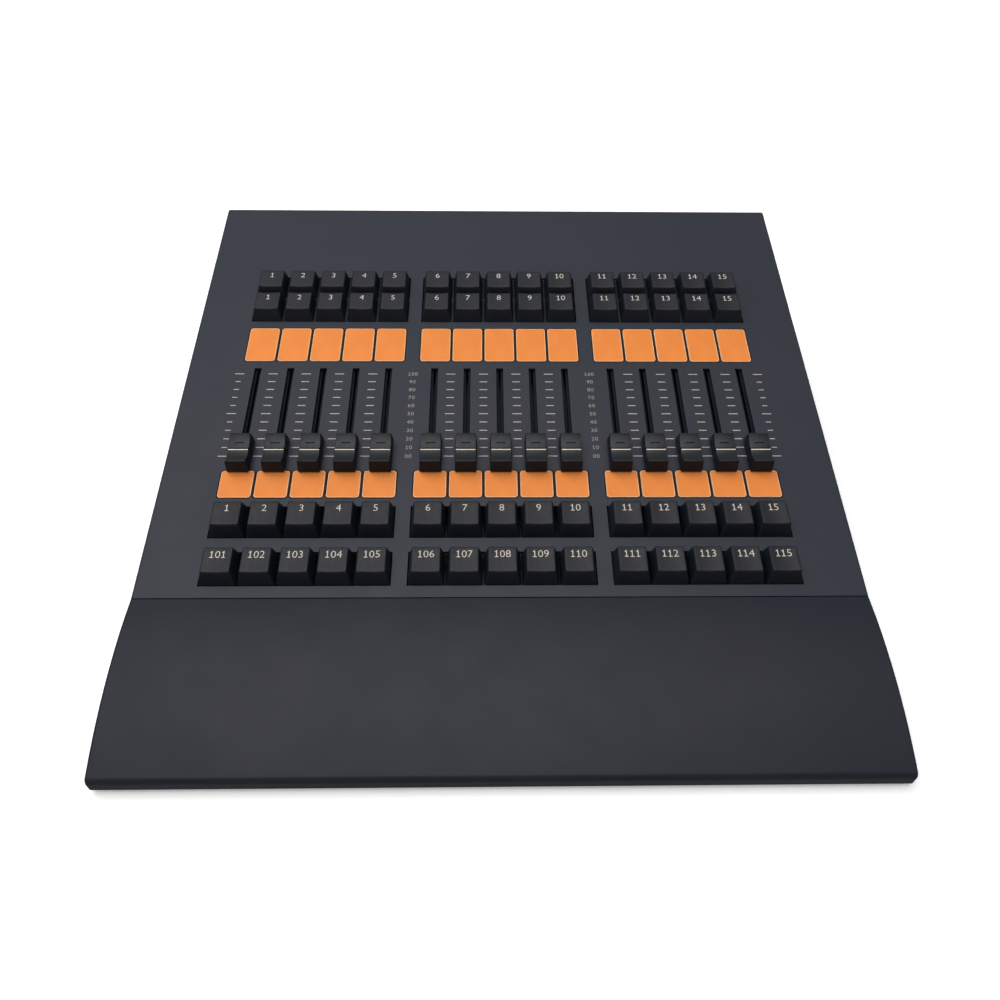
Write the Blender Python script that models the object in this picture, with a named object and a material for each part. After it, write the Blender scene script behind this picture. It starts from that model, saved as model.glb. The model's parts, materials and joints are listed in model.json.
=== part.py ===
"""Lighting control desk: a fifteen-fader playback wing in a sloping sheet-metal case.

The desk stands on its four rubber feet at z = 0, with the operator at -Y and the
connectors at +Y. The controls sit on a sloping panel. They are placed in the panel's
own frame: x to the right, y up the slope from the front seam, z out of the panel.
"""
import math

import bmesh
import bpy
from mathutils import Matrix, Vector

MM = 0.001

# Case
CASE_WIDTH = 364 * MM
PANEL_LENGTH = 288 * MM          # along the slope, from the front seam to the rear edge
PANEL_TILT = math.radians(12)
SHEET = 2 * MM
BEND_RADIUS = 1.5 * MM
BEND_STEPS = 3
BEND_ANGLE = math.radians(40)     # edges sharper than this are bends or corners
GAP = 0.3 * MM                   # between pieces that meet
SEAM = 0.5 * MM                  # the joint between panel and palm rest
OVERCUT = 2 * MM                 # how far a cutter passes the face it opens
FOOT_HEIGHT = 3 * MM
FRONT_RISE = 24.2 * MM           # from the case's lower edge up to the front seam

# Palm rest: one long arc that starts nearly level, then a tight roll down to the front
REST_RADIUS = 238 * MM
REST_ARC = 85.2 * MM
REST_START_SLOPE = math.radians(1)
REST_ARC_STEPS = 10
NOSE_RADIUS = 3.5 * MM
NOSE_STEPS = 4

# Control grid
PITCH = 19.05 * MM
GROUP_PITCH = 103.1 * MM
GROUPS = 3
PER_GROUP = 5
CHANNELS = GROUPS * PER_GROUP

# Keys
KEY_BASE = 18.3 * MM
KEY_TOP_WIDTH = 14.3 * MM
KEY_TOP_DEPTH = 14 * MM
KEY_TOP_SHIFT = 1.85 * MM        # the top is set back, so the front wall slopes most
KEY_HEIGHT = 6.8 * MM            # above the panel, at rest
KEY_SKIRT = 0.8 * MM             # below the panel's face, at rest
KEY_WALL = 1.4 * MM
KEY_CLEARANCE = 0.4 * MM
STEM_SIZE = 5.6 * MM
STEM_DEPTH = 8.5 * MM            # below the panel's face, at rest
NUMBER_ROW = 16 * MM             # row centres, up the slope from the seam
PLAYBACK_ROW = 43 * MM
BANK_ROWS = (193.7 * MM, 193.7 * MM + PITCH)
CARRIER_TOP = -0.3 * MM
CARRIER_THICKNESS = 1.2 * MM

# Faders
FADER_REST = 84.6 * MM           # cap centre when the fader is down
FADER_TRAVEL = 60 * MM
SLOT_WIDTH = 4.1 * MM
SLOT_MARGIN = 2.6 * MM           # slot beyond the cap's centre at either end
CAP_FOOT_WIDTH = 11.8 * MM
CAP_TOP_WIDTH = 10.8 * MM
CAP_FOOT = 1 * MM                # underside of the cap above the panel
CAP_FOOT_HALF = 11 * MM          # half lengths, at the foot and at the top
CAP_END_HALF = 9.5 * MM
CAP_END_HEIGHT = 8.6 * MM
CAP_DISH_HEIGHT = 6.4 * MM
CAP_RIDGE_HALF = 0.7 * MM
CAP_RIDGE_HEIGHT = 7.4 * MM
CAP_RIDGE_SHIFT = -0.5 * MM      # from the cap's middle
CAP_CORNER = 0.6 * MM            # chamfer of the raised ends
BLADE_WIDTH = 1.2 * MM
BLADE_DEPTH = 4 * MM
BLADE_GRIP = 1.5 * MM            # into the cap, and into the carriage
CARRIAGE_WIDTH = 2.8 * MM
CARRIAGE_LENGTH = 9 * MM
CARRIAGE_TOP = -8 * MM
CARRIAGE_BOTTOM = -11 * MM
CARRIAGE_PLAY = 1 * MM           # at either end of its slot
TRACK_WIDTH = 9 * MM
TRACK_LENGTH = 88 * MM
TRACK_TOP = -4.5 * MM
TRACK_SLOT_WIDTH = 3.4 * MM
TRACK_FLOOR = 1 * MM
DECK_TOP = -12.6 * MM
DECK_THICKNESS = 1 * MM
DECK_MARGIN = 4 * MM

# Label strips: a bar behind the panel, with one lens in each window
LENS_WIDTH = 17.5 * MM
LENS_RADIUS = 1.5 * MM
LENS_PROUD = 0.3 * MM
LENS_CORNER_STEPS = 3
WINDOW_GAP = 0.3 * MM
LOWER_LENS = (57.9 * MM, 74.8 * MM)
UPPER_LENS = (152.6 * MM, 178.4 * MM)
STRIP_THICKNESS = 1.7 * MM
STRIP_BORDER = 1.6 * MM

# Control board and its switches
BOARD_TOP = -14 * MM
BOARD_THICKNESS = 1.6 * MM
BOARD_EDGES = (4 * MM, 240 * MM)
BOARD_HALF_WIDTH = 170 * MM
SWITCH_SIZE = 14 * MM
SWITCH_TOP = -6 * MM
WELL_SIZE = 8 * MM
WELL_FLOOR = -13.4 * MM
PILLAR_RADIUS = 3 * MM
PILLAR_SIDES = 8
PILLAR_INSET = 5 * MM            # outer pillars from the board's edges
PILLAR_ROWS = (29.5 * MM, 232 * MM)

# Base plate, feet and rear sockets
BASE_THICKNESS = 1.5 * MM
LIP_HEIGHT = 3.5 * MM
FOOT_RADIUS = 8 * MM
FOOT_TAPER = 1 * MM
FOOT_SIDES = 24
FOOT_INSET = 22 * MM
SOCKET_HEIGHT = 38 * MM          # socket centres above the table
SOCKET_SIZES = {"usb": (12 * MM, 16 * MM, 11 * MM), "power": (10 * MM, 14 * MM, 11 * MM)}
SOCKET_X = {"usb": 105 * MM, "power": 132 * MM}
SOCKET_SET_BACK = 0.2 * MM
USB_OPENING = (8.5 * MM, 9.5 * MM, 7.8 * MM)
POWER_BORE_RADIUS = 3.2 * MM
POWER_BORE_DEPTH = 9.5 * MM
POWER_BORE_SIDES = 16
CONNECTOR_BOARD = (54 * MM, 30 * MM, 1.6 * MM)

# Where the pieces meet, in the desk's frame
NOSE_SLOPE = REST_START_SLOPE + REST_ARC / REST_RADIUS
REST_REACH = (REST_RADIUS * (math.sin(NOSE_SLOPE) - math.sin(REST_START_SLOPE))
              + NOSE_RADIUS * (1 - math.sin(NOSE_SLOPE)))
DESK_DEPTH = PANEL_LENGTH * math.cos(PANEL_TILT) + REST_REACH
FRONT_Y = -DESK_DEPTH / 2
REAR_Y = DESK_DEPTH / 2
SEAM_Y = FRONT_Y + REST_REACH
SEAM_Z = FOOT_HEIGHT + FRONT_RISE
REAR_Z = SEAM_Z + PANEL_LENGTH * math.sin(PANEL_TILT)
FADER_TOP = FADER_REST + FADER_TRAVEL
SLOT_ENDS = (FADER_REST - SLOT_MARGIN, FADER_TOP + SLOT_MARGIN)


def clear_scene():
    for scene_object in list(bpy.data.objects):
        bpy.data.objects.remove(scene_object, do_unlink=True)


def new_collection(name):
    collection = bpy.data.collections.new(name)
    bpy.context.scene.collection.children.link(collection)
    return collection


def new_material(name, colour, roughness, metallic=0.0):
    material = bpy.data.materials.new(name)
    material.use_nodes = True
    shader = material.node_tree.nodes["Principled BSDF"]
    shader.inputs["Base Color"].default_value = (*colour, 1)
    shader.inputs["Roughness"].default_value = roughness
    shader.inputs["Metallic"].default_value = metallic
    return material


def new_object(name, mesh, collection, material=None, parent=None, location=(0, 0, 0)):
    made = bpy.data.objects.new(name, mesh)
    made.location = location
    made.parent = parent
    if material and not mesh.materials:
        mesh.materials.append(material)
    collection.objects.link(made)
    return made


def new_cutter(name, bm, parent=None):
    """An object that only cuts or joins another one."""
    cutter = new_object(name, mesh_from(name, bm), CUTTERS, parent=parent)
    cutter.hide_render = True
    cutter.display_type = "WIRE"
    return cutter


def mesh_from(name, bm):
    mesh = bpy.data.meshes.new(name)
    bm.to_mesh(mesh)
    bm.free()
    return mesh


def combine(target, operation, tool):
    modifier = target.modifiers.new(tool.name, "BOOLEAN")
    modifier.operation = operation
    modifier.solver = "EXACT"
    modifier.object = tool
    return modifier


def round_bends(bm, radius, open_y):
    """Rounds a shell's sharp edges, except those around its open underside and its open end."""
    def on_rim(edge):
        return (all(abs(corner.co.z - FOOT_HEIGHT) < GAP / 2 for corner in edge.verts)
                or all(abs(corner.co.y - open_y) < GAP / 2 for corner in edge.verts))

    bends = [edge for edge in bm.edges if edge.calc_face_angle(0) > BEND_ANGLE and not on_rim(edge)]
    bmesh.ops.bevel(bm, geom=bends, offset=radius, segments=BEND_STEPS, profile=0.5, affect="EDGES")


def add_box(bm, low, high):
    """Adds a box between two corners and returns its vertices."""
    low, high = Vector(low), Vector(high)
    place = Matrix.Translation((low + high) / 2) @ Matrix.Diagonal((*(high - low), 1))
    return bmesh.ops.create_cube(bm, size=1, matrix=place)["verts"]


def add_pad(bm, low, high, radius):
    """Adds a box whose upright edges are rounded."""
    corners = add_box(bm, low, high)
    upright = [edge for edge in {edge for corner in corners for edge in corner.link_edges}
               if abs(edge.verts[0].co.z - edge.verts[1].co.z) > GAP]
    bmesh.ops.bevel(bm, geom=upright, offset=radius, segments=LENS_CORNER_STEPS, profile=0.5,
                     affect="EDGES")


def add_taper(bm, base, top, low, high, top_shift):
    """Adds a block whose rectangular section narrows and moves back from base to top."""
    corners = add_box(bm, (-base[0] / 2, -base[1] / 2, low), (base[0] / 2, base[1] / 2, high))
    for corner in corners:
        if corner.co.z > (low + high) / 2:
            corner.co.x *= top[0] / base[0]
            corner.co.y = corner.co.y * top[1] / base[1] + top_shift
    return corners


def add_pillar(bm, centre, low, high):
    place = Matrix.Translation((centre[0], centre[1], (low + high) / 2))
    bmesh.ops.create_cone(bm, cap_ends=True, segments=PILLAR_SIDES, radius1=PILLAR_RADIUS,
                          radius2=PILLAR_RADIUS, depth=high - low, matrix=place)


def profile_solid(name, outline, width):
    """A closed side profile of (y, z) points, drawn as a flat curve and given a width along x."""
    curve = bpy.data.curves.new(name, "CURVE")
    curve.dimensions = "2D"
    curve.fill_mode = "BOTH"
    curve.extrude = width / 2
    spline = curve.splines.new("POLY")
    spline.points.add(len(outline) - 1)
    for point, (y, z) in zip(spline.points, outline):
        point.co = (y, z, 0, 1)
    spline.use_cyclic_u = True
    drawn = bpy.data.objects.new(name, curve)
    CUTTERS.objects.link(drawn)
    bpy.context.view_layer.update()
    flat = bpy.data.meshes.new_from_object(drawn.evaluated_get(bpy.context.evaluated_depsgraph_get()))
    bpy.data.objects.remove(drawn)
    bm = bmesh.new()
    bm.from_mesh(flat)
    bpy.data.meshes.remove(flat)
    bmesh.ops.remove_doubles(bm, verts=bm.verts, dist=0.00001)
    bmesh.ops.dissolve_limit(bm, angle_limit=math.radians(0.5), verts=bm.verts, edges=bm.edges)
    sideways = Matrix(((0, 0, 1, 0), (1, 0, 0, 0), (0, 1, 0, 0), (0, 0, 0, 1)))
    bmesh.ops.transform(bm, matrix=sideways, verts=bm.verts)
    bmesh.ops.recalc_face_normals(bm, faces=bm.faces)
    return bm


def channel_x(channel):
    """Column centre of a channel, numbered from 0."""
    group, place = divmod(channel, PER_GROUP)
    return (group - (GROUPS - 1) / 2) * GROUP_PITCH + (place - (PER_GROUP - 1) / 2) * PITCH


def group_x(group):
    return (group - (GROUPS - 1) / 2) * GROUP_PITCH


def rest_outline(inset, back_y, floor_z):
    """The palm rest's side view, an inset inside its outer face: back along the top, round the
    nose and down to floor_z."""
    centre = (SEAM_Y + REST_RADIUS * math.sin(REST_START_SLOPE),
              SEAM_Z - REST_RADIUS * math.cos(REST_START_SLOPE))
    points = [(back_y, SEAM_Z - inset)]
    for step in range(REST_ARC_STEPS + 1):
        slope = REST_START_SLOPE + (NOSE_SLOPE - REST_START_SLOPE) * step / REST_ARC_STEPS
        points.append(on_arc(centre, REST_RADIUS - inset, slope))
    nose = on_arc(centre, REST_RADIUS - NOSE_RADIUS, NOSE_SLOPE)
    for step in range(1, NOSE_STEPS + 1):
        slope = NOSE_SLOPE + (math.pi / 2 - NOSE_SLOPE) * step / NOSE_STEPS
        points.append(on_arc(nose, NOSE_RADIUS - inset, slope))
    return points + [(FRONT_Y + inset, floor_z), (back_y, floor_z)]


def on_arc(centre, radius, slope):
    """The point of an arc where its surface slopes down towards the front at this angle."""
    return centre[0] - radius * math.sin(slope), centre[1] + radius * math.cos(slope)


def make_palm_rest():
    back = SEAM_Y - SEAM / 2
    bm = profile_solid("palm_rest", rest_outline(0, back, FOOT_HEIGHT), CASE_WIDTH)
    round_bends(bm, BEND_RADIUS, back)
    rest = new_object("palm_rest", mesh_from("palm_rest", bm), PARTS, PAINT)
    inside = profile_solid("inside", rest_outline(SHEET, back + SHEET, 0), CASE_WIDTH - 2 * SHEET)
    combine(rest, "DIFFERENCE", new_cutter("palm_rest_inside", inside))


def case_outline(inset, front_y, floor_z):
    """The wedge's side view, an inset inside its outer face."""
    slope = math.tan(PANEL_TILT)
    drop = inset / math.cos(PANEL_TILT)
    return ((front_y, floor_z), (REAR_Y - inset, floor_z),
            (REAR_Y - inset, REAR_Z - inset * slope - drop),
            (front_y, SEAM_Z + (front_y - SEAM_Y) * slope - drop))


def make_upper_case():
    front = SEAM_Y + SEAM / 2
    bm = profile_solid("upper_case", case_outline(0, front, FOOT_HEIGHT), CASE_WIDTH)
    round_bends(bm, BEND_RADIUS, front)
    case = new_object("upper_case", mesh_from("upper_case", bm), PARTS, PAINT)
    inside = profile_solid("inside", case_outline(SHEET, front - SHEET, 0), CASE_WIDTH - 2 * SHEET)
    combine(case, "DIFFERENCE", new_cutter("upper_case_inside", inside))
    combine(case, "DIFFERENCE", panel_cutter())
    combine(case, "DIFFERENCE", rear_cutter())


def panel_cutter():
    """Every opening in the panel: key blocks, fader slots and label windows."""
    bm = bmesh.new()
    deep, high = -3 * SHEET, SHEET
    half_block = (PER_GROUP - 1) / 2 * PITCH + KEY_BASE / 2 + KEY_CLEARANCE
    half_row = KEY_BASE / 2 + KEY_CLEARANCE
    for group in range(GROUPS):
        centre = group_x(group)
        for first, last in ((NUMBER_ROW,) * 2, (PLAYBACK_ROW,) * 2, BANK_ROWS):
            add_box(bm, (centre - half_block, first - half_row, deep),
                    (centre + half_block, last + half_row, high))
    for channel in range(CHANNELS):
        x = channel_x(channel)
        add_box(bm, (x - SLOT_WIDTH / 2, SLOT_ENDS[0], deep), (x + SLOT_WIDTH / 2, SLOT_ENDS[1], high))
        for front, back in (LOWER_LENS, UPPER_LENS):
            half = LENS_WIDTH / 2 + WINDOW_GAP
            add_pad(bm, (x - half, front - WINDOW_GAP, deep), (x + half, back + WINDOW_GAP, high),
                    LENS_RADIUS + WINDOW_GAP)
    return new_cutter("panel_openings", bm, PANEL)


def rear_cutter():
    bm = bmesh.new()
    for name, (width, _depth, height) in SOCKET_SIZES.items():
        add_box(bm, (SOCKET_X[name] - width / 2 - GAP, REAR_Y - 3 * SHEET, SOCKET_HEIGHT - height / 2 - GAP),
                (SOCKET_X[name] + width / 2 + GAP, REAR_Y + SHEET, SOCKET_HEIGHT + height / 2 + GAP))
    return new_cutter("rear_openings", bm)


def make_base_plate():
    """A flat tray with a low lip, inside the lower edge of the case and the palm rest."""
    bm, inside = bmesh.new(), bmesh.new()
    for mesh, inset, low in ((bm, SHEET + GAP, 0), (inside, SHEET + GAP + BASE_THICKNESS, BASE_THICKNESS)):
        add_box(mesh, (-CASE_WIDTH / 2 + inset, FRONT_Y + inset, FOOT_HEIGHT + low),
                (CASE_WIDTH / 2 - inset, REAR_Y - inset, FOOT_HEIGHT + LIP_HEIGHT + low))
    plate = new_object("base_plate", mesh_from("base_plate", bm), PARTS, PAINT)
    combine(plate, "DIFFERENCE", new_cutter("base_plate_inside", inside))


def make_feet():
    bm = bmesh.new()
    place = Matrix.Translation((0, 0, (FOOT_HEIGHT - GAP) / 2))
    bmesh.ops.create_cone(bm, cap_ends=True, segments=FOOT_SIDES, radius1=FOOT_RADIUS - FOOT_TAPER,
                          radius2=FOOT_RADIUS, depth=FOOT_HEIGHT - GAP, matrix=place)
    mesh = mesh_from("foot", bm)
    mesh.materials.append(RUBBER)
    mesh.shade_smooth()
    mesh.set_sharp_from_angle(angle=BEND_ANGLE)
    for end, y in (("front", FRONT_Y + FOOT_INSET), ("rear", REAR_Y - FOOT_INSET)):
        for side, x in (("left", -CASE_WIDTH / 2 + FOOT_INSET), ("right", CASE_WIDTH / 2 - FOOT_INSET)):
            new_object(f"foot_{end}_{side}", mesh, PARTS, location=(x, y, 0))


def make_label_strip(name, lens):
    """A bar behind the panel with a raised lens in each channel's window."""
    bar_top = -SHEET - GAP
    reach = channel_x(CHANNELS - 1) + LENS_WIDTH / 2 + STRIP_BORDER
    bm = bmesh.new()
    add_box(bm, (-reach, lens[0] - STRIP_BORDER, bar_top - STRIP_THICKNESS),
            (reach, lens[1] + STRIP_BORDER, bar_top))
    strip = new_object(name, mesh_from(name, bm), PARTS, ORANGE, PANEL)
    bm = bmesh.new()
    for channel in range(CHANNELS):
        x = channel_x(channel)
        add_pad(bm, (x - LENS_WIDTH / 2, lens[0], bar_top - STRIP_THICKNESS / 2),
                (x + LENS_WIDTH / 2, lens[1], LENS_PROUD), LENS_RADIUS)
    combine(strip, "UNION", new_cutter(name + "_lenses", bm, PANEL))


def make_fader_deck():
    """The plate under the slots, with a slotted track for each fader's carriage."""
    middle = (FADER_REST + FADER_TOP) / 2
    reach = channel_x(CHANNELS - 1) + TRACK_WIDTH
    bm = bmesh.new()
    half_deck = TRACK_LENGTH / 2 + DECK_MARGIN
    add_box(bm, (-reach, middle - half_deck, DECK_TOP - DECK_THICKNESS),
            (reach, middle + half_deck, DECK_TOP))
    deck = new_object("fader_deck", mesh_from("fader_deck", bm), PARTS, STEEL, PANEL)
    tracks, slots = bmesh.new(), bmesh.new()
    for channel in range(CHANNELS):
        x = channel_x(channel)
        add_box(tracks, (x - TRACK_WIDTH / 2, middle - TRACK_LENGTH / 2, DECK_TOP - DECK_THICKNESS / 2),
                (x + TRACK_WIDTH / 2, middle + TRACK_LENGTH / 2, TRACK_TOP))
        half = CARRIAGE_LENGTH / 2 + CARRIAGE_PLAY
        add_box(slots, (x - TRACK_SLOT_WIDTH / 2, FADER_REST - half, DECK_TOP + TRACK_FLOOR),
                (x + TRACK_SLOT_WIDTH / 2, FADER_TOP + half, TRACK_TOP + OVERCUT))
    combine(deck, "UNION", new_cutter("fader_tracks", tracks, PANEL))
    combine(deck, "DIFFERENCE", new_cutter("fader_track_slots", slots, PANEL))


def cap_half(ridge_shift):
    """Half of a cap's side view: from its ridge over the dish to the raised end and the foot."""
    dish_middle = CAP_DISH_HEIGHT + (CAP_END_HEIGHT - CAP_DISH_HEIGHT) / 4
    ridge = CAP_RIDGE_HALF + ridge_shift
    return [(ridge, CAP_RIDGE_HEIGHT), (ridge + CAP_CORNER / 3, CAP_DISH_HEIGHT),
            (CAP_END_HALF / 2, dish_middle), (CAP_END_HALF - CAP_CORNER, CAP_END_HEIGHT),
            (CAP_END_HALF, CAP_END_HEIGHT - CAP_CORNER), (CAP_FOOT_HALF, CAP_FOOT)]


def cap_outline():
    """Side view of a fader cap: raised ends, a dished top and a ridge near the middle."""
    return [(-y, z) for y, z in reversed(cap_half(-CAP_RIDGE_SHIFT))] + cap_half(CAP_RIDGE_SHIFT)


def make_faders():
    bm = profile_solid("fader", cap_outline(), CAP_FOOT_WIDTH)
    for corner in bm.verts:
        rise = (corner.co.z - CAP_FOOT) / (CAP_END_HEIGHT - CAP_FOOT)
        corner.co.x *= 1 - rise * (1 - CAP_TOP_WIDTH / CAP_FOOT_WIDTH)
    mesh = mesh_from("fader_cap", bm)
    mesh.materials.append(CAP_PLASTIC)
    bm = bmesh.new()
    add_box(bm, (-BLADE_WIDTH / 2, -BLADE_DEPTH / 2, CARRIAGE_TOP - BLADE_GRIP),
            (BLADE_WIDTH / 2, BLADE_DEPTH / 2, CAP_FOOT + BLADE_GRIP))
    blade = new_cutter("fader_blade", bm)
    bm = bmesh.new()
    add_box(bm, (-CARRIAGE_WIDTH / 2, -CARRIAGE_LENGTH / 2, CARRIAGE_BOTTOM),
            (CARRIAGE_WIDTH / 2, CARRIAGE_LENGTH / 2, CARRIAGE_TOP))
    carriage = new_cutter("fader_carriage", bm)
    pattern = new_object("fader_pattern", mesh, CUTTERS)
    combine(pattern, "UNION", blade)
    combine(pattern, "UNION", carriage)
    mesh = settled_mesh(pattern, "fader")
    for channel in range(CHANNELS):
        new_object(f"fader_{channel + 1:02d}", mesh, PARTS, parent=PANEL,
                   location=(channel_x(channel), FADER_REST, 0))


def settled_mesh(pattern, name):
    """The mesh of an object with its modifiers applied. The object and its mesh are removed."""
    bpy.context.view_layer.update()
    graph = bpy.context.evaluated_depsgraph_get()
    mesh = bpy.data.meshes.new_from_object(pattern.evaluated_get(graph), depsgraph=graph)
    mesh.name = name
    bpy.data.objects.remove(pattern)
    return mesh


def add_key_blanks(bm, hollow, stem, x=0.0, y=0.0):
    """Adds one key's outer form, its hollow and its stem to three meshes."""
    base, top = (KEY_BASE, KEY_BASE), (KEY_TOP_WIDTH, KEY_TOP_DEPTH)
    inner_base = tuple(size - 2 * KEY_WALL for size in base)
    inner_top = tuple(size - 2 * KEY_WALL for size in top)
    blank = add_taper(bm, base, top, -KEY_SKIRT, KEY_HEIGHT, KEY_TOP_SHIFT)
    space = add_taper(hollow, inner_base, inner_top, -KEY_SKIRT - OVERCUT, KEY_HEIGHT - KEY_WALL,
                      KEY_TOP_SHIFT)
    post = add_box(stem, (-STEM_SIZE / 2, -STEM_SIZE / 2, -STEM_DEPTH),
                   (STEM_SIZE / 2, STEM_SIZE / 2, KEY_HEIGHT - KEY_WALL / 2))
    for mesh, corners in ((bm, blank), (hollow, space), (stem, post)):
        bmesh.ops.translate(mesh, verts=corners, vec=(x, y, 0))


def make_keys():
    """The two lower rows: one sprung key for each channel."""
    bm, hollow, stem = bmesh.new(), bmesh.new(), bmesh.new()
    add_key_blanks(bm, hollow, stem)
    pattern = new_object("key_pattern", mesh_from("key_pattern", bm), CUTTERS, KEY_PLASTIC)
    combine(pattern, "DIFFERENCE", new_cutter("key_hollow", hollow))
    combine(pattern, "UNION", new_cutter("key_stem", stem))
    mesh = settled_mesh(pattern, "key")
    for channel in range(CHANNELS):
        for number, row in ((channel + 1, PLAYBACK_ROW), (channel + 101, NUMBER_ROW)):
            new_object(f"key_{number:02d}", mesh, PARTS, parent=PANEL, location=(channel_x(channel), row, 0))


def make_key_banks():
    """The two rear rows of each group: ten keys on one carrier."""
    reach = (PER_GROUP - 1) / 2 * PITCH + KEY_BASE / 2
    middle = sum(BANK_ROWS) / 2
    bm, hollow, stem = bmesh.new(), bmesh.new(), bmesh.new()
    for place in range(PER_GROUP):
        for row in BANK_ROWS:
            add_key_blanks(bm, hollow, stem, (place - (PER_GROUP - 1) / 2) * PITCH, row - middle)
    hollow.free()
    carrier = bmesh.new()
    add_box(carrier, (-reach, -PITCH / 2 - KEY_BASE / 2, CARRIER_TOP - CARRIER_THICKNESS),
            (reach, PITCH / 2 + KEY_BASE / 2, CARRIER_TOP))
    pattern = new_object("bank_pattern", mesh_from("bank_pattern", carrier), CUTTERS, KEY_PLASTIC)
    combine(pattern, "UNION", new_cutter("bank_caps", bm))
    combine(pattern, "UNION", new_cutter("bank_stems", stem))
    mesh = settled_mesh(pattern, "key_bank")
    for group, side in enumerate(("left", "middle", "right")):
        new_object(f"key_bank_{side}", mesh, PARTS, parent=PANEL, location=(group_x(group), middle, 0))


def make_control_board():
    """The board under the panel: a switch for every key, and pillars up to the panel."""
    bm = bmesh.new()
    add_box(bm, (-BOARD_HALF_WIDTH, BOARD_EDGES[0], BOARD_TOP - BOARD_THICKNESS),
            (BOARD_HALF_WIDTH, BOARD_EDGES[1], BOARD_TOP))
    board = new_object("control_board", mesh_from("control_board", bm), PARTS, BOARD, PANEL)
    switches, wells, pillars = bmesh.new(), bmesh.new(), bmesh.new()
    for channel in range(CHANNELS):
        x = channel_x(channel)
        for row in (NUMBER_ROW, PLAYBACK_ROW, *BANK_ROWS):
            half = SWITCH_SIZE / 2
            add_box(switches, (x - half, row - half, BOARD_TOP - BOARD_THICKNESS / 2),
                    (x + half, row + half, SWITCH_TOP))
            half = WELL_SIZE / 2
            add_box(wells, (x - half, row - half, WELL_FLOOR), (x + half, row + half, SWITCH_TOP + OVERCUT))
    outermost = BOARD_HALF_WIDTH - PILLAR_INSET
    for x in (-outermost, -GROUP_PITCH / 2, GROUP_PITCH / 2, outermost):
        for y in PILLAR_ROWS:
            add_pillar(pillars, (x, y), BOARD_TOP - BOARD_THICKNESS / 2, -SHEET - GAP)
    combine(board, "UNION", new_cutter("switches", switches, PANEL))
    combine(board, "DIFFERENCE", new_cutter("switch_wells", wells, PANEL))
    combine(board, "UNION", new_cutter("board_pillars", pillars, PANEL))


def make_connector_board():
    """A small board behind the rear wall, with the data and power sockets."""
    middle_x = sum(SOCKET_X.values()) / len(SOCKET_X)
    width, depth, thickness = CONNECTOR_BOARD
    back = REAR_Y - SHEET - GAP
    floor = SOCKET_HEIGHT - SOCKET_SIZES["usb"][2] / 2 - thickness / 4
    bm = bmesh.new()
    add_box(bm, (middle_x - width / 2, back - depth, floor - thickness / 2),
            (middle_x + width / 2, back, floor + thickness / 2))
    board = new_object("rear_connector_board", mesh_from("rear_connector_board", bm), PARTS, BOARD)
    bodies, openings, pillars = bmesh.new(), bmesh.new(), bmesh.new()
    for name, (size_x, size_y, size_z) in SOCKET_SIZES.items():
        x, face = SOCKET_X[name], REAR_Y - SOCKET_SET_BACK
        add_box(bodies, (x - size_x / 2, face - size_y, SOCKET_HEIGHT - size_z / 2),
                (x + size_x / 2, face, SOCKET_HEIGHT + size_z / 2))
    face = REAR_Y - SOCKET_SET_BACK
    x = SOCKET_X["usb"]
    add_box(openings, (x - USB_OPENING[0] / 2, face - USB_OPENING[1], SOCKET_HEIGHT - USB_OPENING[2] / 2),
            (x + USB_OPENING[0] / 2, face + OVERCUT, SOCKET_HEIGHT + USB_OPENING[2] / 2))
    bore_mouth = Matrix.Translation((SOCKET_X["power"], face, SOCKET_HEIGHT))
    bmesh.ops.create_cone(openings, cap_ends=True, segments=POWER_BORE_SIDES, radius1=POWER_BORE_RADIUS,
                          radius2=POWER_BORE_RADIUS, depth=2 * POWER_BORE_DEPTH,
                          matrix=bore_mouth @ Matrix.Rotation(math.pi / 2, 4, "X"))
    inset = 2 * PILLAR_RADIUS
    for x in (middle_x - width / 2 + inset, middle_x + width / 2 - inset):
        for y in (back - depth + inset, back - inset):
            add_pillar(pillars, (x, y), FOOT_HEIGHT + BASE_THICKNESS + GAP, floor)
    combine(board, "UNION", new_cutter("socket_bodies", bodies))
    combine(board, "DIFFERENCE", new_cutter("socket_openings", openings))
    combine(board, "UNION", new_cutter("connector_pillars", pillars))


clear_scene()
PARTS = new_collection("lighting_control_desk")
CUTTERS = new_collection("cutters")
PAINT = new_material("dark grey paint", (0.052, 0.054, 0.066), 0.55)
RUBBER = new_material("black rubber", (0.012, 0.012, 0.012), 0.85)
ORANGE = new_material("orange label plastic", (0.79, 0.26, 0.075), 0.45)
STEEL = new_material("zinc-plated steel", (0.55, 0.56, 0.58), 0.35, 0.9)
CAP_PLASTIC = new_material("fader cap plastic", (0.030, 0.032, 0.036), 0.5)
KEY_PLASTIC = new_material("key plastic", (0.018, 0.020, 0.024), 0.45)
BOARD = new_material("circuit board", (0.02, 0.10, 0.05), 0.5)

PANEL = bpy.data.objects.new("panel_frame", None)
PANEL.location = (0, SEAM_Y, SEAM_Z)
PANEL.rotation_euler = (PANEL_TILT, 0, 0)
PARTS.objects.link(PANEL)

make_upper_case()
make_palm_rest()
make_base_plate()
make_feet()
make_label_strip("lower_label_strip", LOWER_LENS)
make_label_strip("upper_label_strip", UPPER_LENS)
make_fader_deck()
make_faders()
make_keys()
make_key_banks()
make_control_board()
make_connector_board()
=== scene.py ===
"""Looks for the lighting control desk, a fifteen-fader playback wing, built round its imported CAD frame."""
import json
import math

import bmesh
import bpy
from mathutils import Euler, Matrix, Vector


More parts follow.
